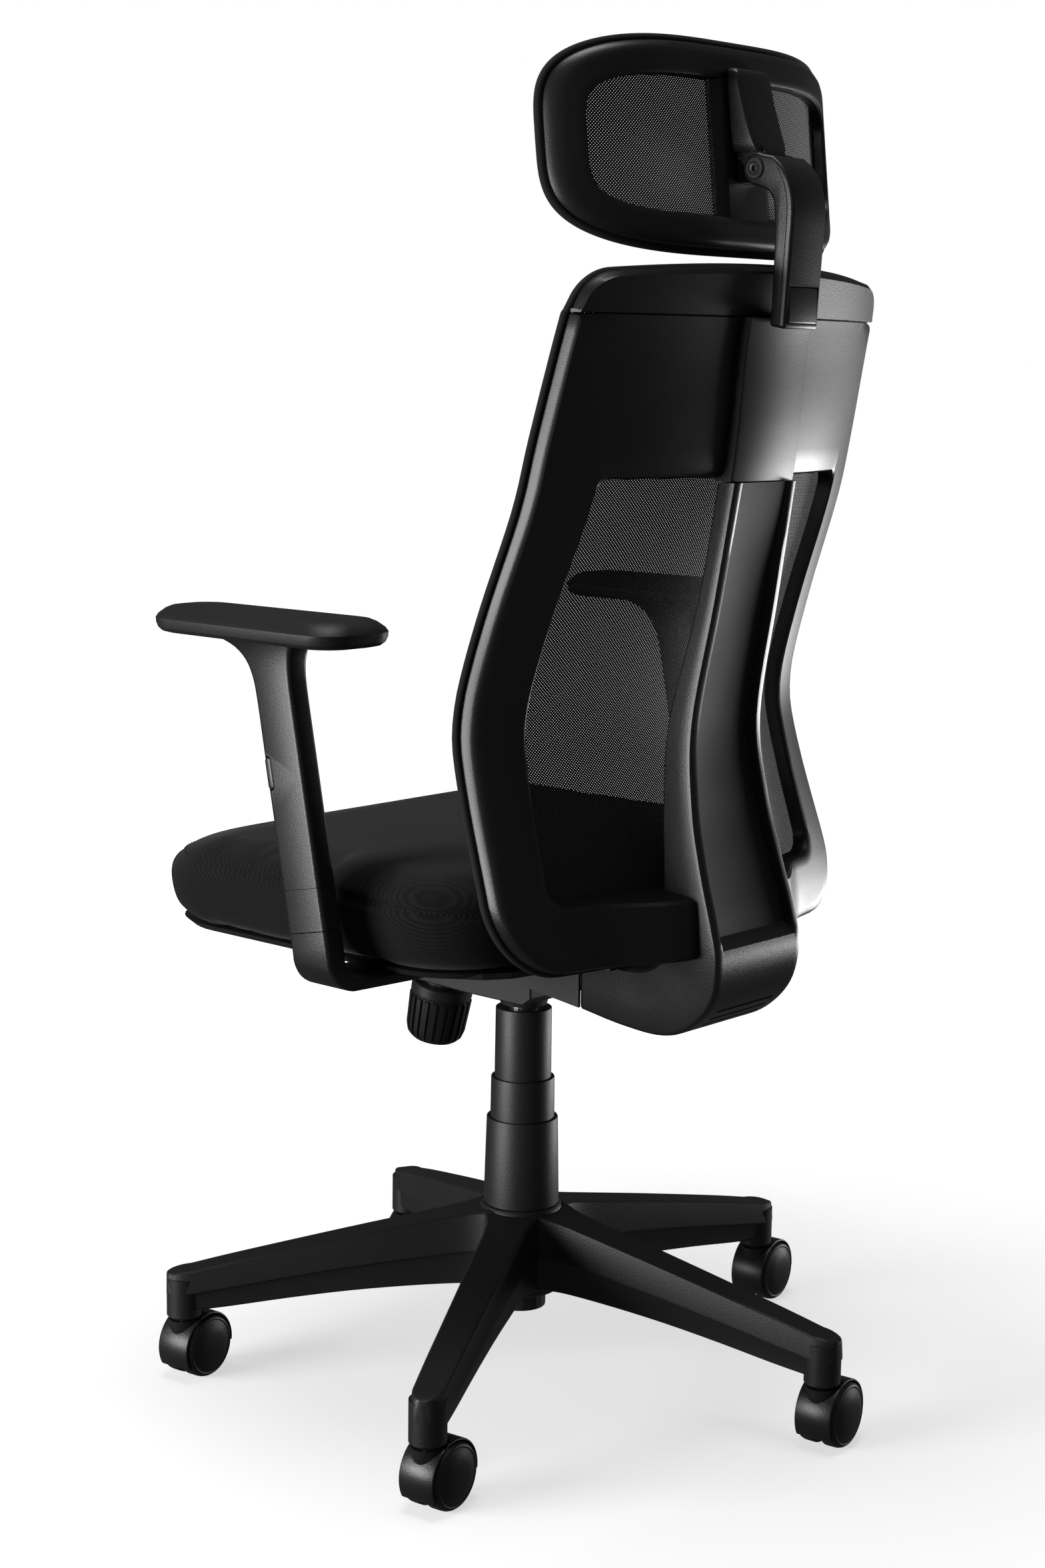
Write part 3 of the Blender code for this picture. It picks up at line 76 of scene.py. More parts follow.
# %% Smooth rows and points
def smooth_rows(rows, steps):
    """Rows of numbers that a smooth curve passes through, with extra rows in each span."""
    made = []
    for i in range(len(rows) - 1):
        a, b, c, d = rows[max(i - 1, 0)], rows[i], rows[i + 1], rows[min(i + 2, len(rows) - 1)]
        for k in range(steps):
            t = k / steps
            made.append(tuple(0.5 * (2 * q + (r - p) * t + (2 * p - 5 * q + 4 * r - s) * t * t
                                     + (3 * q - p - 3 * r + s) * t ** 3) for p, q, r, s in zip(a, b, c, d)))
    return made + [tuple(rows[-1])]


def between(rows, value):
    """The other numbers of a row at a value of its first one."""
    value = min(max(value, rows[0][0]), rows[-1][0])
    for low, high in zip(rows, rows[1:]):
        if value <= high[0]:
            share = (value - low[0]) / (high[0] - low[0])
            return [p + (q - p) * share for p, q in zip(low, high)][1:]
    return list(rows[-1][1:])


def ease(value):
    value = min(max(value, 0.0), 1.0)
    return value * value * (3 - 2 * value)


def arc(x, y, radius, start, end, count):
    angles = [math.radians(start + (end - start) * i / (count - 1)) for i in range(count)]
    return [(x + radius * math.cos(a), y + radius * math.sin(a)) for a in angles]


def rounded(half_x, low_y, high_y, radius, count=8):
    """A rectangle with round corners, anticlockwise from its right side."""
    return (arc(half_x - radius, high_y - radius, radius, 0, 90, count)
            + arc(-half_x + radius, high_y - radius, radius, 90, 180, count)
            + arc(-half_x + radius, low_y + radius, radius, 180, 270, count)
            + arc(half_x - radius, low_y + radius, radius, 270, 360, count))


print("half way between rows:", between([(0, 1), (2, 3)], 1.0), "eased", round(ease(0.25), 3))


# %% Meshes
def mesh_of(bm, name="mesh"):
    mesh = bpy.data.meshes.new(name)
    bm.to_mesh(mesh)
    bm.free()
    return mesh


def loft(sections, ring=False):
    """A closed skin through sections that have the same number of points."""
    bm = bmesh.new()
    rows = [[bm.verts.new(point) for point in section] for section in sections]
    count = len(rows[0])
    for row, after in list(zip(rows, rows[1:])) + ([(rows[-1], rows[0])] if ring else []):
        for i in range(count):
            j = (i + 1) % count
            bm.faces.new((row[i], row[j], after[j], after[i]))
    if not ring:
        bm.faces.new(reversed(rows[0]))
        bm.faces.new(rows[-1])
    bmesh.ops.recalc_face_normals(bm, faces=bm.faces)
    return mesh_of(bm)


def turned(profile, steps=64):
    """A shape turned about z, from a profile of (radius, height) that starts and ends on the axis or closes."""
    bm = bmesh.new()
    on_axis = profile[0][0] == 0
    rings = []
    for radius, height in profile:
        if radius == 0:
            rings.append([bm.verts.new((0, 0, height))])
        else:
            rings.append([bm.verts.new((radius * math.cos(2 * math.pi * i / steps),
                                        radius * math.sin(2 * math.pi * i / steps), height))
                          for i in range(steps)])
    for a, b in list(zip(rings, rings[1:])) + ([] if on_axis else [(rings[-1], rings[0])]):
        for i in range(steps):
            j = (i + 1) % steps
            if len(a) == 1 and len(b) == 1:
                continue
            if len(a) == 1:
                bm.faces.new((a[0], b[i], b[j]))
            elif len(b) == 1:
                bm.faces.new((a[i], a[j], b[0]))
            else:
                bm.faces.new((a[i], a[j], b[j], b[i]))
    bmesh.ops.recalc_face_normals(bm, faces=bm.faces)
    return mesh_of(bm)


def disc(radius, low, high, steps):
    """A plain cylinder about z."""
    return turned([(0, high), (radius, high), (radius, low), (0, low)], steps)


def prism(points, low, high):
    """An outline in xy, carried from a low to a high z."""
    return loft([[Vector((x, y, low)) for x, y in points], [Vector((x, y, high)) for x, y in points]])


def joined(*meshes):
    bm = bmesh.new()
    for mesh in meshes:
        bm.from_mesh(mesh)
    return mesh_of(bm)


def placed(mesh, matrix):
    mesh = mesh.copy()
    mesh.transform(matrix)
    return mesh


def closed_tube(path, radius, count):
    """A tube along points that come back to the first one."""
    sections, side = [], None
    for i, point in enumerate(path):
        before, after = path[i - 1], path[(i + 1) % len(path)]
        along = (after - before).normalized()
        side = along.orthogonal().normalized() if side is None else (side - along * side.dot(along)).normalized()
        up = along.cross(side)
        sections.append([point + side * (radius * math.cos(2 * math.pi * k / count))
                         + up * (radius * math.sin(2 * math.pi * k / count)) for k in range(count)])
    return loft(sections, ring=True)


print("helper check, a turned cup has", len(turned([(0, 0), (1, 0), (1, 1), (0, 1)], 8).polygons), "faces")

# %% [markdown]
# A part is finished in three steps: its object is made with its finish, its modifiers are baked into a plain
# mesh, and it is handed to a moving body of the frame. Cuts use other meshes as tools and leave nothing over.


# %% Making, cutting and mounting a part
def shaded(made, sharp):
    """Smooth shading, with an edge wherever two faces meet at more than the sharp angle."""
    made.data.shade_smooth()
    made.data.set_sharp_from_angle(angle=math.radians(sharp))
    return made


def painted(made, finish, sharp):
    made.data.materials.clear()
    made.data.materials.append(finish)
    return shaded(made, sharp)


def part(name, mesh, finish, sharp=38):
    made = bpy.data.objects.new(name, mesh)
    bpy.context.scene.collection.objects.link(made)
    return painted(made, finish, sharp)


def bake(made, sharp=38):
    """Turns the object's modifiers into a plain mesh."""
    bpy.context.view_layer.update()
    mesh = bpy.data.meshes.new_from_object(made.evaluated_get(bpy.context.evaluated_depsgraph_get()))
    made.modifiers.clear()
    made.data = mesh
    return shaded(made, sharp)


def cut(made, *tools, how="DIFFERENCE"):
    for tool in tools:
        holder = bpy.data.objects.new("tool", tool)
        bpy.context.scene.collection.objects.link(holder)
        step = made.modifiers.new("Cut", "BOOLEAN")
        step.operation = how
        step.solver = "EXACT"
        step.object = holder
        bake(made)
        bpy.data.objects.remove(holder)
    return made


def bevel(made, width, segments=2, angle=32):
    step = made.modifiers.new("Round", "BEVEL")
    step.width = width
    step.segments = segments
    step.limit_method = "ANGLE"
    step.angle_limit = math.radians(angle)
    step.harden_normals = False
    return bake(made)


def mount(made, body, slot, *nodes):
    """Moves the part to its place, lets it ride on a body and stand for the frame's solids."""
    made.data.transform(Matrix.Translation(COLUMN))
    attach(made, body)
    if nodes:
        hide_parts(*nodes)
    print("made", made.name, "on", body, len(made.data.polygons), "faces")
    return made


def box(low, high):
    low, high = Vector(low), Vector(high)
    corners = [(low.x, low.y), (high.x, low.y), (high.x, high.y), (low.x, high.y)]
    return prism(corners, low.z, high.z)


TURN_TO_X = Matrix.Rotation(math.pi / 2, 4, "Y")
print("ready to make parts")

# %% [markdown]
# ## Sums on shader sockets
# Most finishes here are black plastic that differs in grain and gloss. Their patterns are sums of a few
# noises, and written as sums they are easy to read, so a small class adds the Math nodes for each operator.


# %% The signal class
class Signal:
    """A number that varies over a surface; operators on it add Math nodes."""

    def __init__(self, tree, socket):
        self.tree, self.socket = tree, socket

    def node(self, kind, settings=(), values=()):
        """Adds a node of a kind, with its settings first and then the values or links of its sockets."""
        made = self.tree.nodes.new("ShaderNode" + kind)
        for key, value in dict(settings).items():
            setattr(made, key, value)
        for key, value in dict(values).items():
            if isinstance(value, Signal):
                self.tree.links.new(value.socket, made.inputs[key])
            else:
                made.inputs[key].default_value = value
        return made

    def signal(self, node, output=0):
        return Signal(self.tree, node.outputs[output])

    def maths(self, operation, first, second=0.0):
        return self.signal(self.node("Math", {"operation": operation}, {0: first, 1: second}))

    def __add__(self, other):
        return self.maths("ADD", self, other)

    def __sub__(self, other):
        return self.maths("SUBTRACT", self, other)

    def __mul__(self, other):
        return self.maths("MULTIPLY", self, other)

    def sin(self):
        return self.maths("SINE", self)

    def fract(self):
        return self.maths("FRACT", self)

    def above(self, limit, soft):
        """0 below the limit and 1 above it, with a soft step."""
        made = self.node("MapRange", {"interpolation_type": "SMOOTHSTEP"},
                         {"Value": self, "From Min": limit - soft, "From Max": limit + soft})
        return self.signal(made)

    def to(self, low, high):
        """Carries 0..1 to low..high."""
        return self.signal(self.node("MapRange", (), {"Value": self, "To Min": low, "To Max": high}))


def new_finish(name, colour, roughness, metallic=0.0):
    """A Principled material with its uniform values set; gives the material, its shader and its coordinates."""
    made = bpy.data.materials.new(name)
    made.use_nodes = True
    tree = made.node_tree
    shader = tree.nodes["Principled BSDF"]
    for key, value in {"Base Color": (*colour, 1), "Roughness": roughness, "Metallic": metallic}.items():
        shader.inputs[key].default_value = value
    place = tree.nodes.new("ShaderNodeTexCoord")
    return made, shader, Signal(tree, place.outputs["Object"]), Signal(tree, place.outputs["UV"])


def feed(signal, shader, key):
    signal.tree.links.new(signal.socket, shader.inputs[key])


def bump(signal, shader, height, strength=0.5):
    """Feeds a height in metres to the shader's normal."""
    made = signal.node("Bump", (), {"Strength": strength, "Distance": height, "Height": signal})
    signal.tree.links.new(made.outputs["Normal"], shader.inputs["Normal"])


def noise(place, scale, detail=2.0):
    return place.signal(place.node("TexNoise", (), {"Vector": place, "Scale": scale, "Detail": detail}))


def cells(place, scale):
    return place.signal(place.node("TexVoronoi", (), {"Vector": place, "Scale": scale}))


print("signals can be joined by", [n for n in ("__add__", "__sub__", "__mul__") if hasattr(Signal, n)])


# %% [markdown]
# ## Finishes
# The moulded parts are black and have an etched grain: the mould is etched, so the plastic shows small soft
# bumps about half a millimetre across. The base and the covers are a duller nylon. All patterns are in
# metres on the object, so they stay the same size on every part.

# %% Moulded plastics
def moulded(name, colour, roughness, grain_size, depth, mottling=0.06):
    """Black plastic with an etched grain and slow changes of gloss."""
    made, shader, place, _ = new_finish(name, colour, roughness)
    grain = cells(place, 1 / grain_size) * 0.7 + noise(place, 0.6 / grain_size, 3.0) * 0.6
    slow = noise(place, 9.0, 3.0)
    feed(slow.to(roughness - mottling, roughness + mottling) + grain * 0.05, shader, "Roughness")
    bump(grain, shader, depth, 0.6)
    tint = place.node("Mix", {"data_type": "RGBA"}, {"Factor": slow, 6: (*colour, 1),
                                                    7: (*(c * 1.5 for c in colour), 1)})
    place.tree.links.new(tint.outputs[2], shader.inputs["Base Color"])
    return made


SATIN = moulded("satin_plastic", (0.010, 0.010, 0.011), 0.32, 0.0011, 0.00014)
SPINE_SATIN = moulded("spine_plastic", (0.009, 0.009, 0.010), 0.27, 0.0011, 0.00012, 0.04)
FRAME_BLACK = moulded("frame_plastic", (0.009, 0.009, 0.010), 0.33, 0.0010, 0.00012)
NYLON = moulded("base_nylon", (0.011, 0.011, 0.012), 0.44, 0.0013, 0.00018)
WHEEL = moulded("wheel_plastic", (0.008, 0.008, 0.009), 0.40, 0.0011, 0.00010)
PAD = moulded("arm_pad_skin", (0.010, 0.010, 0.011), 0.46, 0.0016, 0.00020)
CHANNEL_MATT = moulded("channel_matt", (0.005, 0.005, 0.0055), 0.60, 0.0011, 0.00014)
POWDER = moulded("powder_coat", (0.008, 0.008, 0.009), 0.50, 0.0015, 0.00012)
print("plastics:", [m.name for m in bpy.data.materials if m.use_nodes][-6:])


# %% Steel and the dark gaps
def turned_steel():
    made, shader, place, _ = new_finish("plain_steel", (0.42, 0.42, 0.43), 0.28, metallic=1.0)
    fine = noise(place, 900.0, 2.0)
    feed(fine.to(0.22, 0.36), shader, "Roughness")
    bump(fine, shader, 0.00002, 0.3)
    return made


STEEL = turned_steel()
DARK_STEEL = moulded("black_screw", (0.030, 0.030, 0.031), 0.25, 0.0020, 0.00003)
print("steels:", STEEL.name, DARK_STEEL.name)


# %% [markdown]
# ## Textiles
# The seat is covered with a close black knit that shows fine diagonal ribs. The back and the headrest are an
# open warp knit: rows of small round holes on a 2.8 millimetre pitch, which let the light behind through.
# The holes are a transparency pattern on the sheet's own UV map, which is in metres.

# %% Seat fabric and open mesh
def seat_knit():
    made, shader, place, _ = new_finish("seat_knit", (0.0065, 0.0065, 0.007), 0.9)
    shader.inputs["Sheen Weight"].default_value = 0.08
    shader.inputs["Sheen Roughness"].default_value = 0.5
    shader.inputs["Specular IOR Level"].default_value = 0.2
    split = place.node("SeparateXYZ", (), {0: place})
    x, y, z = (place.signal(split, i) for i in range(3))
    rib = ((x + y * 0.55 + z * 0.8) * (2 * math.pi / 0.0034)).sin() * 0.5 + 0.5
    stitch = noise(place, 420.0, 1.0)
    weave = rib * 0.70 + stitch * 0.30
    wool = noise(place, 600.0, 2.0)
    bump(weave + wool * 0.35, shader, 0.0003, 0.5)
    shade = place.node("Mix", {"data_type": "RGBA"}, {"Factor": weave * 0.8 + wool * 0.2,
                                                     6: (0.002, 0.002, 0.0022, 1), 7: (0.009, 0.009, 0.0095, 1)})
    place.tree.links.new(shade.outputs[2], shader.inputs["Base Color"])
    feed(weave.to(0.95, 0.8), shader, "Roughness")
    return made


def open_knit(name, pitch, hole):
    """Holes on a staggered grid: alpha 0 inside each hole."""
    made, shader, place, flat = new_finish(name, (0.010, 0.010, 0.011), 0.75)
    shader.inputs["Sheen Weight"].default_value = 0.15
    split = flat.node("SeparateXYZ", (), {0: flat})
    u, v = flat.signal(split, 0) * (1 / pitch), flat.signal(split, 1) * (1 / pitch)

    def dots(shift):
        across, along = (u + shift).fract() - 0.5, (v + shift).fract() - 0.5
        return flat.maths("SQRT", across * across + along * along)
    nearest = flat.maths("MINIMUM", dots(0.0), dots(0.5))
    solid = nearest.above(hole, 0.05)
    feed(solid, shader, "Alpha")
    bump(nearest.above(hole + 0.12, 0.14), shader, 0.0003, 0.6)
    feed(noise(place, 500.0, 1.0).to(0.7, 0.9), shader, "Roughness")
    return made


SEAT_KNIT = seat_knit()
BACK_KNIT = open_knit("back_knit", 0.0028, 0.092)
EDGE_TEXTILE = moulded("edge_textile", (0.007, 0.007, 0.008), 0.85, 0.0009, 0.00030)
print("textiles:", SEAT_KNIT.name, BACK_KNIT.name)

# %% [markdown]
# ## The star base
# One nylon moulding with five legs. A leg has a flat top with a small chamfer, a side that widens down to a
# ledge, and a narrower skirt under it; near the hub it swells into a fillet, and its tip is round over the
# caster's stem. One leg is a skin through sections, and a Geometry Nodes tree turns five of it about the hub.

# %% One leg
GAP = 0.0004
LEG_ANGLE, STEM_CIRCLE = math.radians(27.6), 0.318
BOSS_RADIUS, BOSS_BOTTOM = 0.0165, 0.0608
HUB_TOP, HUB_BOTTOM, HUB_RADIUS = 0.1711, 0.0870, 0.0375
# distance, top z, low z, half width at the top, at the ledge
LEG_ROWS = smooth_rows([(0.030, 0.1690, 0.0950, 0.0290, 0.0330), (0.045, 0.1660, 0.0960, 0.0225, 0.0262),
                        (0.065, 0.1618, 0.0955, 0.0190, 0.0228), (0.110, 0.1525, 0.0930, 0.0178, 0.0215),
                        (0.163, 0.1415, 0.0885, 0.0168, 0.0202), (0.220, 0.1292, 0.0815, 0.0158, 0.0188),
                        (0.275, 0.1170, 0.0735, 0.0150, 0.0175), (0.312, 0.1082, 0.0690, 0.0143, 0.0165)], 3)


def leg_section(distance, top, low, half_top, half_ledge):
    ledge = low + (top - low) * 0.50
    chamfer = 0.0018
    skirt = half_ledge - 0.0040
    half = [(half_top - chamfer, top), (half_top, top - chamfer * 0.7), (half_ledge, ledge + 0.0010),
            (half_ledge, ledge - 0.0010), (skirt + 0.0008, ledge - 0.0024), (skirt, ledge - 0.0040),
            (skirt - 0.0008, low + 0.0015), (skirt - 0.0022, low)]
    return [Vector((distance, y, z)) for y, z in half + [(-y, z) for y, z in reversed(half)]]


leg_sections = [leg_section(*row) for row in LEG_ROWS]
for angle in (8, 18, 28, 40, 52, 63, 73, 81):
    reach, narrow = math.sin(math.radians(angle)), math.cos(math.radians(angle))
    drop = 0.0030 * (1 - narrow)
    leg_sections.append(leg_section(0.312 + 0.0225 * reach, 0.1082 - drop - 0.0022 * reach, 0.0690,
                                    0.0020 + 0.0123 * narrow, 0.0042 + 0.0123 * narrow))
boss = turned([(0, 0.1000), (BOSS_RADIUS, 0.1000), (BOSS_RADIUS, BOSS_BOTTOM + 0.0022),
               (BOSS_RADIUS - 0.0022, BOSS_BOTTOM), (0, BOSS_BOTTOM)], 40)
leg_mesh = joined(loft(leg_sections), placed(boss, Matrix.Translation((STEM_CIRCLE, 0, 0))))
print("one leg:", len(leg_mesh.polygons), "faces, tip at", round(max(v.co.x for v in leg_mesh.vertices), 4))


# %% [markdown]
# Geometry Nodes make whatever repeats. This first tree takes the object's own mesh, puts copies of it round
# the z axis, and ends in real geometry with a material, because instances are lost when a model is exported.

# %% A tree that turns copies round an axis
def add_input(tree, name, kind, value):
    made = tree.interface.new_socket(name, in_out="INPUT", socket_type="NodeSocket" + kind)
    if value is not None:
        made.default_value = value
    return made.identifier


def copying_tree(name, inputs, set_copies):
    """A tree whose copies, set out by a function, end as real geometry with the given material."""
    tree = bpy.data.node_groups.new(name, "GeometryNodeTree")
    keys = {label: add_input(tree, label, kind, value) for label, kind, value in inputs}
    tree.interface.new_socket("Geometry", in_out="OUTPUT", socket_type="NodeSocketGeometry")
    node, link = tree.nodes.new, tree.links.new
    given, result = node("NodeGroupInput"), node("NodeGroupOutput")
    copies, real, paint = (node("GeometryNode" + kind) for kind in ("InstanceOnPoints", "RealizeInstances",
                                                                    "SetMaterial"))
    set_copies(node, link, given.outputs, copies.inputs)
    link(copies.outputs[0], real.inputs[0])
    link(real.outputs[0], paint.inputs["Geometry"])
    link(given.outputs["Material"], paint.inputs["Material"])
    link(paint.outputs[0], result.inputs[0])
    return tree, keys


def copies_round_axis(node, link, given, copies):
    points, index, combine = (node(kind) for kind in ("GeometryNodePoints", "GeometryNodeInputIndex",
                                                      "ShaderNodeCombineXYZ"))
    share, full, turn = (node("ShaderNodeMath") for _ in range(3))
    share.operation, full.operation, turn.operation = "DIVIDE", "MULTIPLY", "ADD"
    full.inputs[1].default_value = 2 * math.pi
    link(given["Count"], points.inputs["Count"])
    link(index.outputs[0], share.inputs[0])
    link(given["Count"], share.inputs[1])
    link(share.outputs[0], full.inputs[0])
    link(full.outputs[0], turn.inputs[0])
    link(given["Start Angle"], turn.inputs[1])
    link(turn.outputs[0], combine.inputs["Z"])
    link(points.outputs[0], copies["Points"])
    link(given["Geometry"], copies["Instance"])
    link(combine.outputs[0], copies["Rotation"])


RING_TREE, RING_KEYS = copying_tree("copies_round_an_axis", [
    ("Geometry", "Geometry", None), ("Count", "Int", 5), ("Start Angle", "Float", 0.0),
    ("Material", "Material", None)], copies_round_axis)


def round_an_axis(name, mesh, finish, count, start=0.0, sharp=38):
    made = part(name, mesh, finish, sharp)
    step = made.modifiers.new("Copies", "NODES")
    step.node_group = RING_TREE
    for key, value in {"Count": count, "Start Angle": start, "Material": finish}.items():
        step[RING_KEYS[key]] = value
    return bake(made, sharp)


print("tree inputs:", RING_KEYS)

# %% Five legs and the hub
hub = turned([(0.0250, HUB_TOP), (HUB_RADIUS - 0.0012, HUB_TOP), (HUB_RADIUS, HUB_TOP - 0.0012),
              (HUB_RADIUS + 0.0025, HUB_TOP - 0.0060), (HUB_RADIUS + 0.0015, 0.1200),
              (HUB_RADIUS, HUB_BOTTOM + 0.0020), (HUB_RADIUS - 0.0020, HUB_BOTTOM), (0.0250, HUB_BOTTOM)], 80)
base = round_an_axis("star_base_moulding", leg_mesh, NYLON, 5, LEG_ANGLE, 30)
base.data = joined(base.data, hub)
mount(painted(base, NYLON, 30), "base", "nylon", "star_base")

# %% [markdown]
# ## Casters
# Each caster has two domed wheels on one axle, a hood over both, and a conical socket that takes the stem
# of the base. The hood is an arc of wall around the treads with a web between the wheels, so it is drawn as
# one side view, carried across, and cleared by two cylinders. All five hang at the same angle.

# %% The caster's own shapes
WHEEL_RADIUS, WHEEL_WIDTH, WHEEL_GAP, TRAIL = 0.030, 0.0168, 0.0080, 0.0155
WHEEL_CLEAR, HOOD_WALL, HOOD_SPACE = 0.0010, 0.0017, 0.0015
TRAIL_ANGLE = math.radians(186.7)
HOOD_OUTSIDE = WHEEL_RADIUS + WHEEL_CLEAR + HOOD_WALL
TO_AXLE = Matrix.Translation((TRAIL, 0, WHEEL_RADIUS)) @ Matrix.Rotation(math.pi / 2, 4, "X")
hood_half = WHEEL_GAP / 2 + WHEEL_WIDTH - 0.0030
hood_view = arc(0, 0, HOOD_OUTSIDE, 212, -6, 44) + arc(0, 0, 0.0110, -40, -118, 10)
hood_block = prism(hood_view, -hood_half, hood_half)
socket = turned([(0, BOSS_BOTTOM - 0.0022), (0.0145, BOSS_BOTTOM - 0.0022), (0.0138, 0.0500),
                 (0.0078, 0.0245), (0.0060, 0.0225), (0, 0.0225)], 40)
wheel_profile = [(0, 0.0197), (0.0120, 0.0193), (0.0190, 0.0179), (0.0236, 0.0159), (0.0250, 0.0155),
                 (0.0262, 0.0159), (0.0276, 0.0153), (0.0290, 0.0135), (0.0298, 0.0113), (0.0300, 0.0088),
                 (0.0300, 0.0012), (0.0288, 0), (0.0034, 0), (0.0034, 0.0112), (0, 0.0112)]
wheel_mesh = turned(wheel_profile, 72)
print("wheel", len(wheel_mesh.polygons), "faces; hood is", round(2 * hood_half * 1000, 1), "mm wide")


# %% Hood, made once
hood = part("hood_pattern", placed(hood_block, TO_AXLE), SATIN)
bevel(hood, 0.0012, 2)
for low in (WHEEL_GAP / 2, -WHEEL_GAP / 2 - WHEEL_WIDTH - HOOD_SPACE):
    cut(hood, placed(disc(WHEEL_RADIUS + WHEEL_CLEAR, low, low + WHEEL_WIDTH + HOOD_SPACE, 72), TO_AXLE))
cut(hood, socket, how="UNION")
cut(hood, disc(BOSS_RADIUS + HOOD_SPACE, BOSS_BOTTOM - 0.0018, BOSS_BOTTOM + 0.02, 40))
hood_mesh = hood.data
bpy.data.objects.remove(hood)
print("hood", len(hood_mesh.polygons), "faces")

# %% Five casters
for number in range(5):
    angle = LEG_ANGLE + number * 2 * math.pi / 5
    stand = (Matrix.Translation((STEM_CIRCLE * math.cos(angle), STEM_CIRCLE * math.sin(angle), 0))
             @ Matrix.Rotation(TRAIL_ANGLE, 4, "Z"))
    label = "caster_%d" % (number + 1)
    stem = turned([(0, 0.0840), (0.0055, 0.0835), (0.0055, BOSS_BOTTOM - 0.0034), (0, BOSS_BOTTOM - 0.0034)], 24)
    mount(part(label + "_steel_stem", placed(stem, stand), STEEL), label, "steel", label + "_stem")
    mount(part(label + "_fork_hood", placed(hood_mesh, stand), SATIN, 30), label, "plastic", label + "_hood")
    for side, sign in (("outer", -1), ("inner", 1)):
        seat_of_wheel = (stand @ Matrix.Translation((TRAIL, sign * (WHEEL_GAP / 2 + GAP), WHEEL_RADIUS))
                         @ Matrix.Rotation(-sign * math.pi / 2, 4, "X"))
        mount(part("%s_%s_disc" % (label, side), placed(wheel_mesh, seat_of_wheel), WHEEL, 24),
              "%s_wheel_%s" % (label, side), "tread", "%s_wheel_%s" % (label, side))

# %% [markdown]
# ## Gas column and its cover
# The gas spring is hidden by a cover of three tubes that slide into each other. Each one is slightly tapered
# and has a rolled lip, which gives the thin bright line at every step. All three are turned shapes.

# %% Column and covers
COVER_WALL = 0.0016


def cover(name, low, high, inner_low, inner_high, hole):
    edge = 0.0009
    profile = [(hole, high - 0.0002), (hole + 0.0005, high), (inner_high + COVER_WALL - edge, high),
               (inner_high + COVER_WALL - edge * 0.3, high - edge * 0.3), (inner_high + COVER_WALL, high - edge),
               (inner_low + COVER_WALL, low + 0.0005), (inner_low + COVER_WALL - 0.0005, low), (inner_low, low),
               (inner_high, high - COVER_WALL), (hole, high - COVER_WALL)]
    return part(name, turned(profile, 72), NYLON, 40)


mount(cover("upper_cover_tube", 0.2700, 0.3604, 0.0252, 0.0248, 0.0144), "column_lift", "nylon", "cover_upper")
mount(cover("middle_cover_tube", 0.2260, 0.2937, 0.0289, 0.0283, 0.0275), "column_middle", "nylon",
      "cover_middle")
mount(cover("lower_cover_tube", 0.1716, 0.2550, 0.0340, 0.0320, 0.0312), "base", "nylon", "cover_lower")
# these solids are true enough to stay in sight, so they only get a finish
for node, finish in {"gas_cylinder": POWDER, "gas_rod": STEEL, "valve_button": STEEL, "mech_housing": POWDER,
                     "tilt_pin": STEEL, "tension_bolt": STEEL, "tension_spring": STEEL, "height_lever": STEEL,
                     "mech_plate": POWDER, "seat_pan": SATIN, "lever_paddle": SATIN}.items():
    for mesh_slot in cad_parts[node].material_slots:
        mesh_slot.material = finish
    print("kept", node, "with", finish.name)

# %% [markdown]
# ## Tension knob
# A deep cup that hangs under the front of the mechanism, with grip ribs round its lower part. The ribs are
# one small rounded bar, turned round the axis by the same tree as the legs.

# %% Knob with its ribs
KNOB_RADIUS, KNOB_HEIGHT = 0.0300, 0.0590
KNOB_PLACE = Matrix.Translation((0, -0.1035, 0.3670)) @ Matrix.Rotation(-math.radians(12), 4, "X")
knob_body = turned([(0.0210, 0), (KNOB_RADIUS - 0.0014, 0), (KNOB_RADIUS - 0.0002, -0.0012),
                    (KNOB_RADIUS - 0.0002, -0.0105), (KNOB_RADIUS - 0.0016, -0.0125), (KNOB_RADIUS - 0.0018, -0.0150),
                    (KNOB_RADIUS - 0.0036, -0.0480), (KNOB_RADIUS - 0.0050, -0.0540), (KNOB_RADIUS - 0.0085, -0.0580),
                    (KNOB_RADIUS - 0.0130, -KNOB_HEIGHT), (0.0045, -KNOB_HEIGHT), (0.0045, -0.0560),
                    (KNOB_RADIUS - 0.0110, -0.0555), (KNOB_RADIUS - 0.0065, -0.0470), (KNOB_RADIUS - 0.0050, -0.0030),
                    (0.0210, -0.0030)], 96)
rib_rows = [(-0.0135, KNOB_RADIUS - 0.0012), (-0.0150, KNOB_RADIUS + 0.0002), (-0.0460, KNOB_RADIUS - 0.0014),
            (-0.0530, KNOB_RADIUS - 0.0034), (-0.0565, KNOB_RADIUS - 0.0066)]
rib = loft([[Vector((radius + a * 0.0013, b * half, z)) for a, b, half in (
    (0, -1, 0.0021), (0, -0.75, 0.0021), (0, 0.75, 0.0021), (0, 1, 0.0021), (-3, 1, 0.0024), (-3, -1, 0.0024))]
    for z, radius in rib_rows])
knob = round_an_axis("tension_knob_grip", rib, SATIN, 22, 0.0, 50)
knob.data = placed(joined(knob.data, knob_body), KNOB_PLACE)
mount(painted(knob, SATIN, 30), "knob", "plastic", "tension_knob")

# %% [markdown]
# ## Seat cushion
# A foam cushion in a knitted cover: a crowned top, a waterfall front that falls away under the knees, a
# sewn seam high on the side, and fabric pulled round to the bottom. The form starts a little small, is
# blown up by a short cloth simulation so that its sides get real tension, and the seam is pressed in after.

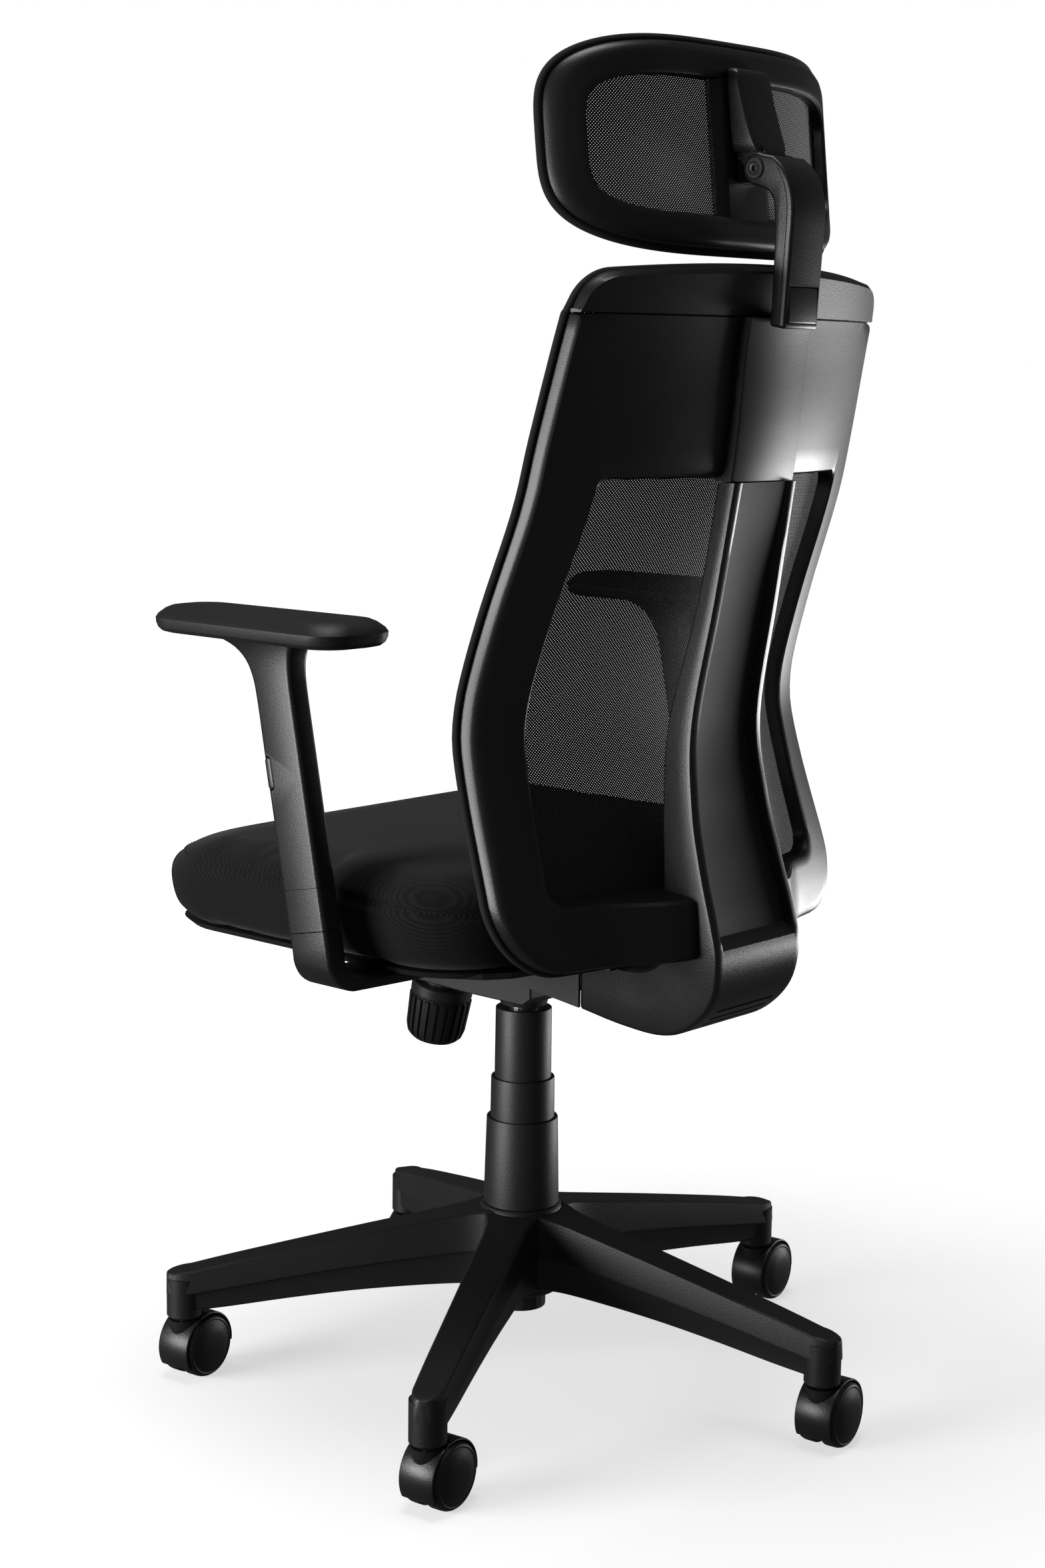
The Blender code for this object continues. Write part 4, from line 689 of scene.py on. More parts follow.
# %% The cushion before it is inflated
SEAT_HALF, SEAT_FRONT, SEAT_REAR, SEAT_CORNER = 0.2455, -0.2755, 0.1455, 0.0850
SEAT_LOW, SEAT_TOP = 0.4452, 0.5262
seat_rows = smooth_rows([(SEAT_LOW, 0.0260), (0.4470, 0.0150), (0.4540, 0.0065), (0.4680, 0.0022),
                         (0.4880, 0.0000), (0.5030, 0.0016), (0.5130, 0.0075), (0.5200, 0.0190),
                         (0.5240, 0.0370), (SEAT_TOP, 0.0700)], 2)


def seat_outline(inset):
    return rounded(SEAT_HALF - inset, SEAT_FRONT + inset, SEAT_REAR - inset, max(SEAT_CORNER - inset * 0.7, 0.03), 12)


def waterfall(point):
    """Lowers the front of the top, and lifts the underside a little at the front."""
    height = (point.z - SEAT_LOW) / (SEAT_TOP - SEAT_LOW)
    front = ease((-0.165 - point.y) / 0.115)
    dish = 0.004 * max(0.0, 1 - (point.x / 0.16) ** 2) * ease((point.y + 0.20) / 0.1)
    return Vector((point.x, point.y, point.z - (0.016 * front + dish) * height + 0.006 * front * (1 - height)))


cushion = part("seat_cushion_cover", loft([[waterfall(Vector((x, y, z))) for x, y in seat_outline(inset)]
                                           for z, inset in seat_rows]), SEAT_KNIT)
remesh = cushion.modifiers.new("Voxels", "REMESH")
remesh.mode = "VOXEL"
remesh.voxel_size = 0.0055
bake(cushion)
print("cushion before cloth:", len(cushion.data.polygons), "faces")


# %% Inflate it with a short cloth simulation
def inflate(made, pressure, frames, cap):
    """Blows the mesh up a little as cloth, and moves no point further than the cap."""
    start = [v.co.copy() for v in made.data.vertices]
    cloth = made.modifiers.new("Cloth", "CLOTH")
    cloth.settings.uniform_pressure_force = pressure
    cloth.settings.use_pressure = True
    cloth.settings.mass = 0.3
    cloth.settings.tension_stiffness = cloth.settings.compression_stiffness = 12
    cloth.settings.bending_stiffness = 0.4
    cloth.settings.effector_weights.gravity = 0
    scene = bpy.context.scene
    scene.frame_start, scene.frame_end = 1, frames
    for number in range(1, frames + 1):
        scene.frame_set(number)
    moved = made.evaluated_get(bpy.context.evaluated_depsgraph_get()).data
    blown = [v.co.copy() for v in moved.vertices]
    made.modifiers.clear()
    for vertex, before, after in zip(made.data.vertices, start, blown):
        step = after - before
        if step.length > cap:
            step = step.normalized() * cap
        vertex.co = before + step
    scene.frame_set(1)
    print("inflated", made.name, "largest step", round(max((a - b).length for a, b in zip(start, blown)), 4))


inflate(cushion, 4.0, 20, 0.0045)

# %% Press the seam in and smooth the cover
SEAM_DEPTH, SEAM_WIDTH = 0.0026, 0.0034


def seam_height(y):
    """The seam runs lower towards the rear."""
    return 0.5085 - 0.0120 * (y - SEAT_FRONT) / (SEAT_REAR - SEAT_FRONT)


fine = cushion.modifiers.new("Fine", "SUBSURF")
fine.levels = fine.render_levels = 1
bake(cushion)
for vertex, normal in [(v, v.normal.copy()) for v in cushion.data.vertices]:
    if abs(normal.z) < 0.8:
        off = (vertex.co.z - seam_height(vertex.co.y)) / SEAM_WIDTH
        vertex.co -= Vector((normal.x, normal.y, 0)) * SEAM_DEPTH * math.exp(-off * off)
cushion.data.update()
# a thin plastic rim closes the gap between the cushion and the pan under it
SHELL_LOW, SHELL_HIGH = 0.4386, 0.4450
shell_rows = [[Vector((x, y, z)) for z, (x, y) in ((SHELL_LOW, a), (SHELL_HIGH, b), (SHELL_HIGH, c), (SHELL_LOW, c))]
              for a, b, c in zip(seat_outline(0.0220), seat_outline(0.0150), seat_outline(0.0370))]
mount(part("seat_under_shell", loft(shell_rows, ring=True), SATIN, 30), "tilt", "plastic")
seat_spots = [vertex.co.copy() for vertex in cushion.data.vertices]
seat_faces = [tuple(face.vertices) for face in cushion.data.polygons]
mount(cushion, "tilt", "fabric", "seat_cushion")

# %% [markdown]
# The seam's thread shows as a row of small stitches. They follow a path, so a second Geometry Nodes tree
# puts one short bead at each step along a curve and turns it to the curve's direction.


# %% A tree that sets beads along a path
def beads_along(node, link, given, copies):
    points, bead = node("GeometryNodeCurveToPoints"), node("GeometryNodeMeshUVSphere")
    size = node("ShaderNodeCombineXYZ")
    points.mode = "LENGTH"
    bead.inputs["Segments"].default_value, bead.inputs["Rings"].default_value = 6, 4
    bead.inputs["Radius"].default_value = 1.0
    link(given["Geometry"], points.inputs["Curve"])
    link(given["Step"], points.inputs["Length"])
    for axis, label in (("X", "Bead Radius"), ("Y", "Bead Radius"), ("Z", "Bead Length")):
        link(given[label], size.inputs[axis])
    link(points.outputs["Points"], copies["Points"])
    link(points.outputs["Rotation"], copies["Rotation"])
    link(bead.outputs["Mesh"], copies["Instance"])
    link(size.outputs[0], copies["Scale"])


PATH_TREE, PATH_KEYS = copying_tree("beads_along_a_path", [
    ("Geometry", "Geometry", None), ("Step", "Float", 0.005), ("Bead Length", "Float", 0.003),
    ("Bead Radius", "Float", 0.0004), ("Material", "Material", None)], beads_along)


def beads(name, path, finish, step, length, radius):
    """Beads along points that come back to the first one."""
    line = bpy.data.curves.new(name, "CURVE")
    line.dimensions = "3D"
    spline = line.splines.new("POLY")
    spline.points.add(len(path) - 1)
    for point, place in zip(spline.points, path):
        point.co = (*place, 1)
    spline.use_cyclic_u = True
    holder = bpy.data.objects.new(name + "_path", line)
    bpy.context.scene.collection.objects.link(holder)
    tree = holder.modifiers.new("Beads", "NODES")
    tree.node_group = PATH_TREE
    for key, value in {"Step": step, "Bead Length": length, "Bead Radius": radius, "Material": finish}.items():
        tree[PATH_KEYS[key]] = value
    bpy.context.view_layer.update()
    mesh = bpy.data.meshes.new_from_object(holder.evaluated_get(bpy.context.evaluated_depsgraph_get()))
    bpy.data.objects.remove(holder)
    made = part(name, mesh, finish)
    print(name, "has", len(mesh.polygons), "faces")
    return made


SEAT_MIDDLE_Y, CAST_FROM, STITCH_LIFT = -0.065, 0.1, 0.0002
seam_tree = BVHTree.FromPolygons(seat_spots, seat_faces)
seam_path = []
for x, y in rounded(SEAT_HALF, SEAT_FRONT, SEAT_REAR, SEAT_CORNER, 24):
    away = Vector((x, y - SEAT_MIDDLE_Y, 0)).normalized() * CAST_FROM
    start = Vector((x, y, seam_height(y))) + away
    hit, normal, _, _ = seam_tree.ray_cast(start, -away)
    seam_path.append(hit + normal * STITCH_LIFT)
mount(beads("seat_seam_stitches", seam_path, EDGE_TEXTILE, 0.0050, 0.0019, 0.0006), "tilt", "fabric")

# %% [markdown]
# ## The back
# The back curves two ways: it leans and bulges at the loins, and every level section is a shallow bow. One
# function gives the surface, and the ring frame, its upper cap and the mesh are all laid on it. The ring's
# section has a flat rear, an outer bevel that catches the light and a round inner edge.

# %% The back's surface
BACK_ROWS = smooth_rows([
    (0.453, 0.2360, 0.1715, 0.0360), (0.503, 0.2345, 0.1607, 0.0420), (0.607, 0.2285, 0.1262, 0.0540),
    (0.666, 0.2255, 0.1172, 0.0560), (0.743, 0.2220, 0.1370, 0.0570), (0.836, 0.2160, 0.1702, 0.0580),
    (0.892, 0.2135, 0.1843, 0.0550), (0.972, 0.2065, 0.2035, 0.0430), (1.036, 0.2000, 0.2200, 0.0380)], 4)
BACK_LOW, BACK_TOP, SEAM_Z = 0.4530, 1.0360, 0.9950
WINDOW_LOW, WINDOW_TOP, BAND, WALL = 0.5100, 0.8630, 0.0500, 0.0165
LOW_CORNER, TOP_CORNER = 0.0600, 0.0280


def back_point(x, z, rearward=0.0):
    half, edge, depth = between(BACK_ROWS, z)
    return Vector((x, edge + depth * (1 - (x / half) ** 2) + rearward, z))


def half_width(z):
    return between(BACK_ROWS, z)[0]


def back_top(x):
    half = half_width(BACK_TOP)
    over = max(abs(x) - half + TOP_CORNER, 0.0)
    return (BACK_TOP - 0.010 * (x / half) ** 2 - TOP_CORNER
            + math.sqrt(max(TOP_CORNER ** 2 - over ** 2, 0.0)))


def side_line(inset, low, high, low_corner, high_corner):
    """Half an outline of the back: from the lower middle round the +X side to the upper middle."""
    low_at, high_at = half_width(low + low_corner) - inset - low_corner, half_width(high) - inset - high_corner
    points = [(low_at * k / 14, low) for k in range(14)]
    points += arc(low_at, low + low_corner, low_corner, -90, 0, 12)[:-1]
    span = high - high_corner - low - low_corner
    for k in range(40):
        z = low + low_corner + span * k / 39
        points.append((half_width(z) - inset, z))
    points += arc(high_at, high - high_corner, high_corner, 0, 90, 8)[1:]
    return points + [(high_at * k / 14, high) for k in range(13, -1, -1)]


def flare(x, z):
    """The lower bar swells rearward to meet the spine's side, but not behind the spine's middle."""
    return 0.030 * ease((0.150 - abs(x)) / 0.085) * ease((0.530 - z) / 0.020) * ease((abs(x) - 0.028) / 0.018)


print("back is", round(2 * half_width(0.5), 3), "m wide low down and", round(2 * half_width(1.0), 3), "at the top")

# %% Ring frame
outer_line = side_line(0.0022, BACK_LOW, SEAM_Z, LOW_CORNER, 0.0015)
inner_line = side_line(BAND, WINDOW_LOW, WINDOW_TOP, 0.0180, 0.0120)
half_ring = list(zip(outer_line, inner_line))
ring = half_ring + [((-a[0], a[1]), (-b[0], b[1])) for a, b in reversed(half_ring[1:-1])]
frame_sections = []
for (ox, oz), (ix, iz) in ring:
    wide = math.hypot(ix - ox, iz - oz)
    at_seam = oz > SEAM_Z - 0.0010 and abs(ox) < half_width(SEAM_Z) - 0.0045
    edge = [(0.0, 0.0), (0.0, WALL - 0.0010), (0.0010, WALL)] if at_seam else [
        (0.0, 0.0015), (0.0004, 0.0060), (0.0014, 0.0128)]
    crest = [(0.0060, WALL), (0.0100, WALL)] if at_seam else [(0.0032, WALL - 0.0012), (0.0060, WALL)]
    start = crest[-1][0]
    run = [(start + (wide - start - 0.0050) * k / 7, WALL) for k in range(1, 8)]
    rim = [(wide - 0.0022, WALL - 0.0012), (wide - 0.0004, WALL - 0.0045), (wide, WALL - 0.0080), (wide, 0.0)]
    front = [(wide * (1 - k / 6), 0.0) for k in range(1, 6)]
    section = []
    for across, rearward in edge + crest + run + rim + front:
        x, z = ox + (ix - ox) * across / wide, oz + (iz - oz) * across / wide
        section.append(back_point(x, z, rearward + (flare(x, z) * rearward / WALL)))
    frame_sections.append(section)
back_frame = part("back_ring_frame", loft(frame_sections, ring=True), FRAME_BLACK, 24)
mount(back_frame, "tilt", "plastic", "back_frame")

# %% Raised middle panel above the spine
BAND_HALF, BAND_PROUD = 0.0435, 0.0080
panel_sections = []
for k in range(15):
    z = WINDOW_TOP - 0.0030 + (SEAM_Z - 0.0006 - WINDOW_TOP + 0.0030) * k / 14
    middle = back_point(0, z, WALL + BAND_PROUD)
    panel_sections.append([middle + Vector((x, y, 0)) for x, y in (
        (-BAND_HALF, -0.018), (-BAND_HALF, -0.0016), (-BAND_HALF + 0.0006, -0.0005), (-BAND_HALF + 0.0018, 0),
        (BAND_HALF - 0.0018, 0), (BAND_HALF - 0.0006, -0.0005), (BAND_HALF, -0.0016), (BAND_HALF, -0.018))])
mount(part("back_middle_panel", loft(panel_sections), FRAME_BLACK, 24), "tilt", "plastic")

# %% Upper cap
reach = half_width(SEAM_Z) - 0.0022
cap_sections = []
for k in range(61):
    x = math.sin(math.pi / 2 * (-1 + 2 * k / 60)) * reach
    low, high = SEAM_Z + 0.0003, max(back_top(x), SEAM_Z + 0.0030)
    heights = [(low, 0.0010), (low, WALL - 0.0006), (low + 0.0005, WALL)]
    heights += [(low + (high - low) * s, WALL) for s in (0.3, 0.6, 0.85)]
    fall = min(0.0040, (high - low) * 0.5)
    heights += [(high - fall, WALL - 0.0010), (high - fall * 0.3, WALL - 0.0040), (high, 0.0085),
                (high, 0.0040), (high - fall * 0.5, 0.0010)]
    cap_sections.append([back_point(x, z, d) for z, d in heights])
mount(part("back_upper_cap", loft(cap_sections), FRAME_BLACK, 24), "tilt", "plastic", "back_cap")

# %% [markdown]
# ## The mesh of the back
# A knitted sheet is stretched over the front of the ring and tucked round its edge under a sewn tape. The
# sheet is one layer of faces with a UV map in metres, so that its knit keeps the same pitch everywhere.

# %% Stretched sheets
MESH_CLEAR = 0.0024


def sheet_of(rows, name):
    """One layer of faces through rows of points, facing forward, with its UV map in metres."""
    bm = bmesh.new()
    layer = bm.loops.layers.uv.new("metres")
    grid = [[bm.verts.new(point) for point in row] for row in rows]
    middle = len(rows[0]) // 2
    along = [0.0]
    for row, after in zip(rows, rows[1:]):
        along.append(along[-1] + (after[middle] - row[middle]).length)
    across = []
    for row in rows:
        run = [0.0]
        for a, b in zip(row, row[1:]):
            run.append(run[-1] + (b - a).length)
        across.append([u - run[middle] for u in run])
    for r in range(len(rows) - 1):
        for c in range(len(rows[0]) - 1):
            face = bm.faces.new((grid[r][c], grid[r][c + 1], grid[r + 1][c + 1], grid[r + 1][c]))
            for loop, (i, j) in zip(face.loops, ((r, c), (r, c + 1), (r + 1, c + 1), (r + 1, c))):
                loop[layer].uv = (across[i][j], along[i])
    return mesh_of(bm, name), along[-1], max(u[-1] - u[0] for u in across)


def low_edge(x):
    over = max(abs(x) - (half_width(BACK_LOW) - 0.003 - LOW_CORNER), 0.0)
    return BACK_LOW + 0.003 + LOW_CORNER - math.sqrt(max(LOW_CORNER ** 2 - over ** 2, 0.0))


mesh_rows = []
for k in range(81):
    share = k / 80
    row = []
    for j in range(61):
        x = (-1 + 2 * j / 60) * (half_width(BACK_LOW + (BACK_TOP - BACK_LOW) * share) - 0.0032)
        z = low_edge(x) + (back_top(x) - 0.003 - low_edge(x)) * share
        row.append(back_point(x, z, -MESH_CLEAR))
    mesh_rows.append(row)
back_mesh, tall, wide = sheet_of(mesh_rows, "back_mesh")
back_knit = part("back_knit_sheet", back_mesh, BACK_KNIT)
mount(back_knit, "tilt", "mesh", "back_mesh")

# %% Sewn tape round the back's edge
TAPE_RADIUS = 0.0034
tape = []
for x, z in side_line(0.0010, BACK_LOW, SEAM_Z, LOW_CORNER, 0.0015):
    if x < half_width(SEAM_Z) - 0.0020 and z > SEAM_Z - 0.01:
        break
    tape.append(back_point(x, z, 0.0014))
for k in range(1, 41):
    x = (half_width(BACK_TOP) - 0.0010) * math.cos(math.pi / 2 * k / 40)
    height = back_top(x) - 0.0010
    if height > tape[-1].z or x < half_width(BACK_TOP) - TOP_CORNER:
        tape.append(back_point(x, height, 0.0014))
tape += [Vector((-p.x, p.y, p.z)) for p in reversed(tape[1:-1])]
mount(part("back_edge_tape", closed_tube(tape, TAPE_RADIUS, 12), EDGE_TEXTILE), "tilt", "mesh")

# %% [markdown]
# ## The spine
# One strong moulding runs from under the seat, round a tight bend and up the middle of the back. Its rear is
# a shallow channel between two rims, and its sides are smooth. It is a skin through level sections along
# the bend, and the slots under the bend are cut by thin bars.

# %% Spine
# rear y and z, front y and z, half width
SPINE_ROWS = smooth_rows([
    (0.2640, 0.8590, 0.2430, 0.8590, 0.0435), (0.2476, 0.7590, 0.2260, 0.7570, 0.0455),
    (0.2295, 0.6550, 0.2005, 0.6520, 0.0490), (0.2362, 0.5850, 0.2020, 0.5800, 0.0550),
    (0.2500, 0.5310, 0.2070, 0.5270, 0.0590), (0.2645, 0.4850, 0.2100, 0.4820, 0.0610),
    (0.2705, 0.4550, 0.2120, 0.4640, 0.0610), (0.2640, 0.4200, 0.2060, 0.4470, 0.0590),
    (0.2400, 0.3930, 0.1900, 0.4370, 0.0570), (0.2069, 0.3795, 0.1700, 0.4335, 0.0550),
    (0.1600, 0.3800, 0.1450, 0.4335, 0.0530), (0.1113, 0.3855, 0.1113, 0.4335, 0.0500)], 6)
RIM = 0.0080
spine_sections = []
for rear_y, rear_z, front_y, front_z, half in SPINE_ROWS:
    rear, to_front = Vector((0, rear_y, rear_z)), Vector((0, front_y - rear_y, front_z - rear_z))
    inward, depth = to_front.normalized(), to_front.length
    channel = (0.0035 + 0.0060 * ease((0.860 - rear_z) / 0.120)) * ease((rear_z - 0.4650) / 0.0100)
    half_outline = [(0.0, channel), (half - RIM - 0.0045, channel), (half - RIM - 0.0028, channel * 0.94),
                    (half - RIM - 0.0012, channel * 0.12), (half - RIM, 0.0), (half - 0.0048, 0.0),
                    (half - 0.0022, 0.0007), (half - 0.0006, 0.0026), (half, 0.0058), (half, depth * 0.5),
                    (half, depth - 0.0030), (half - 0.0030, depth)]
    outline = half_outline + [(-x, d) for x, d in reversed(half_outline[1:])]
    spine_sections.append([rear + inward * d + Vector((x, 0, 0)) for x, d in outline])
spine = part("spine_moulding", loft(spine_sections), SPINE_SATIN, 28)
slots = []
for k in range(7):
    y, z = 0.2560 - 0.0095 * k, 0.4068 - 0.0062 * k + 0.00042 * k * k
    slot_turn = Matrix.Translation((0, y, z)) @ Matrix.Rotation(math.radians(-52 + 4 * k), 4, "X")
    slots.append(placed(box((-0.0400, -0.0090, -0.0016), (0.0400, 0.0090, 0.0016)), slot_turn))
cut(spine, joined(*slots))
shaded(spine, 28)
spine.data.materials.append(CHANNEL_MATT)
CHANNEL_END = 0.466
half_rows = sorted((row[1], row[4]) for row in SPINE_ROWS if row[1] > 0.462)
for face in spine.data.polygons:
    middle = face.center
    edge = between(half_rows, middle.z)[0] - RIM - 0.0028
    if middle.z > CHANNEL_END and face.normal.y > 0.3 and abs(middle.x) < edge:
        face.material_index = 1
mount(spine, "tilt", "plastic", "spine")

# %% [markdown]
# ## Armrests
# A curved bracket comes out from under the seat and turns up into a short collar. The post inside it leans
# forward, and the sleeve that slides on it ends in a flared head under a soft moulded pad. Both armrests
# are the same part mirrored, so one function draws them, with the sign of their side.

# %% Sections of the arm
ARM_X, ARM_LEAN, ARM_FOOT = 0.2750, math.radians(11.6), Vector((0.0, 0.0045, 0.4760))
WIDE, DEEP, COLLAR_TALL, BUTTON_Z = 0.0110, 0.0225, 0.0370, 0.1010
PAD_TOP, PAD_THICK = 0.7450, 0.0240
LEAN = Matrix.Rotation(ARM_LEAN, 4, "X")


def oblong(half_x, half_y, z, radius=0.0042, count=5):
    """A level section with round corners."""
    return [Vector((x, y, z)) for x, y in rounded(half_x, -half_y, half_y, min(radius, half_x * 0.9), count)]


def bracket_section(middle, across, thick, half_y, y_mid):
    """A section in the plane of one direction and y."""
    return [Vector((middle.x, 0, middle.z)) + across * p.x + Vector((0, y_mid + p.y, 0))
            for p in oblong(thick / 2, half_y, 0, 0.0035)]


def mirrored(mesh, sign):
    """The mesh as it is for +X, or its mirror image with its faces turned back out."""
    if sign > 0:
        return mesh
    mesh = placed(mesh, Matrix.Diagonal((-1, 1, 1, 1)))
    mesh.flip_normals()
    return mesh


print("arm section", 2 * WIDE, "by", 2 * DEEP, "m")

# %% Meshes of one arm, drawn for +X from the foot of its post
AT_FOOT = Matrix.Translation(ARM_FOOT + Vector((ARM_X, 0, 0))) @ LEAN
AT_COLLAR = AT_FOOT @ Matrix.Translation((0, 0, COLLAR_TALL))
UNDER_Z, BEND_OUTSIDE = 0.4259, 0.0290
bracket_rows = [[AT_FOOT @ p for p in oblong(WIDE, DEEP, z)] for z in (-0.0004, -0.0080, -0.0150)]
bend = Vector((ARM_X + WIDE - BEND_OUTSIDE, 0, UNDER_Z + BEND_OUTSIDE))
for k in range(9):
    angle = math.radians(-12 - 70 * k / 8)
    thick = 0.0215 - 0.0095 * k / 8
    out = Vector((math.cos(angle), 0, math.sin(angle)))
    middle = bend + out * (BEND_OUTSIDE - thick / 2)
    bracket_rows.append(bracket_section(middle, out, thick, DEEP + 0.0004 * k, 0.0090 + 0.0006 * k))
for x, half_y in ((0.2400, 0.0265), (0.2150, 0.0290), (0.1900, 0.0315), (0.1500, 0.0325), (0.1000, 0.0325),
                  (0.0790, 0.0325)):
    bracket_rows.append(bracket_section(Vector((x, 0, UNDER_Z + 0.0058)), Vector((0, 0, -1)), 0.0115,
                                        half_y, 0.0145))
bracket_mesh = loft(bracket_rows)
collar_mesh = placed(loft([oblong(WIDE, DEEP, z) for z in (0.0004, 0.0010, 0.0364, 0.0370)]), AT_FOOT)
sleeve_rows = smooth_rows([(0.0004, WIDE, DEEP), (0.0400, WIDE, DEEP), (0.1200, WIDE, DEEP), (0.1650, WIDE, DEEP),
                           (0.1850, 0.0112, 0.0240), (0.2000, 0.0122, 0.0290), (0.2120, 0.0145, 0.0385),
                           (0.2210, 0.0185, 0.0510), (0.2270, 0.0225, 0.0590), (0.2400, 0.0235, 0.0600)], 3)
sleeve_mesh = loft([oblong(a, b, z, 0.0042 + (a - WIDE) * 0.6) for z, a, b in sleeve_rows])
button_hole = loft([[Vector((x, y - DEEP + 0.0046, z + BUTTON_Z))
                     for y, z in rounded(0.0044, -0.0150, 0.0150, 0.0042, 6)]
                    for x in (WIDE - 0.0048, WIDE + 0.0100)])
button_mesh = loft([[Vector((x, y, z)) for y, z in rounded(0.0038 - i, -0.0140 + i, 0.0140 - i, 0.0034 - i, 6)]
                    for x, i in ((WIDE - 0.0022, 0.0), (WIDE - 0.0010, 0.0), (WIDE - 0.0004, 0.0006),
                                 (WIDE - 0.0001, 0.0016))])
button_mesh.transform(Matrix.Translation((0, -DEEP + 0.0044, BUTTON_Z)))
print("bracket", len(bracket_mesh.polygons), "sleeve", len(sleeve_mesh.polygons), "faces")


# %% Pad: a soft skin on a plate
def pad_outline(inset):
    front, rear, side = -0.1720 + inset, 0.0630 - inset, 0.0450 - inset
    return [(x * (1 - 0.16 * ease((-y - 0.06) / 0.12)), y)
            for x, y in rounded(side, front, rear, 0.0300 - inset * 0.5, 10)]


PAD_ROWS = [(0.0, 0.0100), (0.0012, 0.0050), (0.0040, 0.0020), (0.0085, 0.0003), (0.0125, 0.0), (0.0160, 0.0022),
            (0.0205, 0.0078), (0.0228, 0.0128), (0.0236, 0.0180), (PAD_THICK, 0.0250)]
pad_mesh = loft([[Vector((ARM_X + x, y, PAD_TOP - PAD_THICK + z)) for x, y in pad_outline(inset)]
                 for z, inset in PAD_ROWS])
print("pad", len(pad_mesh.polygons), "faces")

# %% Both armrests
for side, sign in (("left", 1), ("right", -1)):
    bracket = part("arm_bracket_curve_" + side, mirrored(bracket_mesh.copy(), sign), SATIN, 30)
    mount(bracket, "tilt", "plastic", "arm_bracket_" + side)
    post = part("arm_collar_" + side, mirrored(collar_mesh.copy(), sign), SATIN, 30)
    cut(post, mirrored(placed(box((-0.0060, -0.0130, 0.0300), (0.0060, 0.0130, 0.1700)), AT_FOOT), sign), how="UNION")
    mount(post, "tilt", "plastic", "arm_post_" + side)
    sleeve = part("arm_sleeve_shell_" + side, mirrored(placed(sleeve_mesh, AT_COLLAR), sign), SATIN, 26)
    channel = placed(box((-0.0064, -0.0134, -0.0100), (0.0064, 0.0134, 0.1390)), AT_COLLAR)
    over = box((0.15, -0.30, PAD_TOP - PAD_THICK - GAP), (0.40, 0.30, 0.90))
    cut(sleeve, *(mirrored(tool, sign) for tool in (channel, placed(button_hole, AT_COLLAR), over)))
    mount(sleeve, "arm_" + side, "plastic", "arm_sleeve_" + side)
    button = part("arm_release_" + side, mirrored(placed(button_mesh, AT_COLLAR), sign), SATIN, 30)
    mount(button, "arm_button_" + side, "plastic", "arm_button_" + side)
    pad = part("arm_soft_pad_" + side, mirrored(pad_mesh.copy(), sign), PAD, 24)
    mount(pad, "arm_" + side, "foam_pad", "arm_pad_" + side)

# %% [markdown]
# ## Headrest
# A curved ring with two mesh windows on either side of a middle rib, a knitted sheet over its front, and a
# bracket that turns on a screw at the top of its post. Its outline is a rounded oblong, so one formula
# with two powers of the cosine and the sine draws it, and the ring's section goes round that.

# %% The headrest's surface and outline
PIVOT = Vector((0, 0.2593, 1.1148))
AT_PIVOT = Matrix.Translation(PIVOT) @ TURN_TO_X
HEAD_HALF, HEAD_TALL, HEAD_BAND, HEAD_WALL = 0.1890, 0.0855, 0.0380, 0.0120
HEAD_Y, HEAD_Z, HEAD_LEAN, HEAD_WRAP = 0.2200, 1.1320, math.radians(6.5), 0.0530
HEAD_CORNER, SIDE_BAND = 0.50, 0.0270


def head_point(x, up, rearward=0.0):
    y = HEAD_Y - up * math.sin(HEAD_LEAN) - HEAD_WRAP * (abs(x) / HEAD_HALF) ** 3.2
    return Vector((x, y + rearward, HEAD_Z + up * math.cos(HEAD_LEAN)))


def oblong_point(angle, half_x, half_up, power):
    c, s = math.cos(angle), math.sin(angle)
    return (half_x * math.copysign(abs(c) ** power, c), half_up * math.copysign(abs(s) ** power, s))


HEAD_STEPS = 128
head_sections = []
for k in range(HEAD_STEPS):
    angle = 2 * math.pi * (k + 0.5) / HEAD_STEPS
    ox, ou = oblong_point(angle, HEAD_HALF - 0.0015, HEAD_TALL - 0.0015, HEAD_CORNER)
    ix, iu = oblong_point(angle, HEAD_HALF - SIDE_BAND, HEAD_TALL - HEAD_BAND * 0.80, 0.42)
    wide = math.hypot(ix - ox, iu - ou)
    profile = [(0.0, 0.0010), (0.0006, 0.0050), (0.0026, 0.0088), (0.0060, 0.0112), (0.0090, HEAD_WALL)]
    profile += [(0.0090 + (wide - 0.0130) * j / 4, HEAD_WALL) for j in range(1, 5)]
    profile += [(wide - 0.0016, 0.0110), (wide - 0.0003, 0.0085), (wide, 0.0050), (wide, 0.0), (wide * 0.5, 0.0)]
    head_sections.append([head_point(ox + (ix - ox) * t / wide, ou + (iu - ou) * t / wide, d) for t, d in profile])
head_ring = part("headrest_ring", loft(head_sections, ring=True), FRAME_BLACK, 24)
mount(head_ring, "headrest", "plastic", "headrest_frame")

# %% Middle rib between the windows
rib_sections = []
for k in range(17):
    up = (-1 + 2 * k / 16) * (HEAD_TALL - HEAD_BAND * 0.60)
    half_rib = [(0.0, 0.0112), (0.0250, 0.0112), (0.0268, 0.0108), (0.0345, 0.0070), (0.0360, 0.0055),
                (0.0362, 0.0010)]
    outline = half_rib + [(-x, d) for x, d in reversed(half_rib[1:])]
    rib_sections.append([head_point(x, up, d) for x, d in outline])
mount(part("headrest_middle_rib", loft(rib_sections), FRAME_BLACK, 24), "headrest", "plastic")

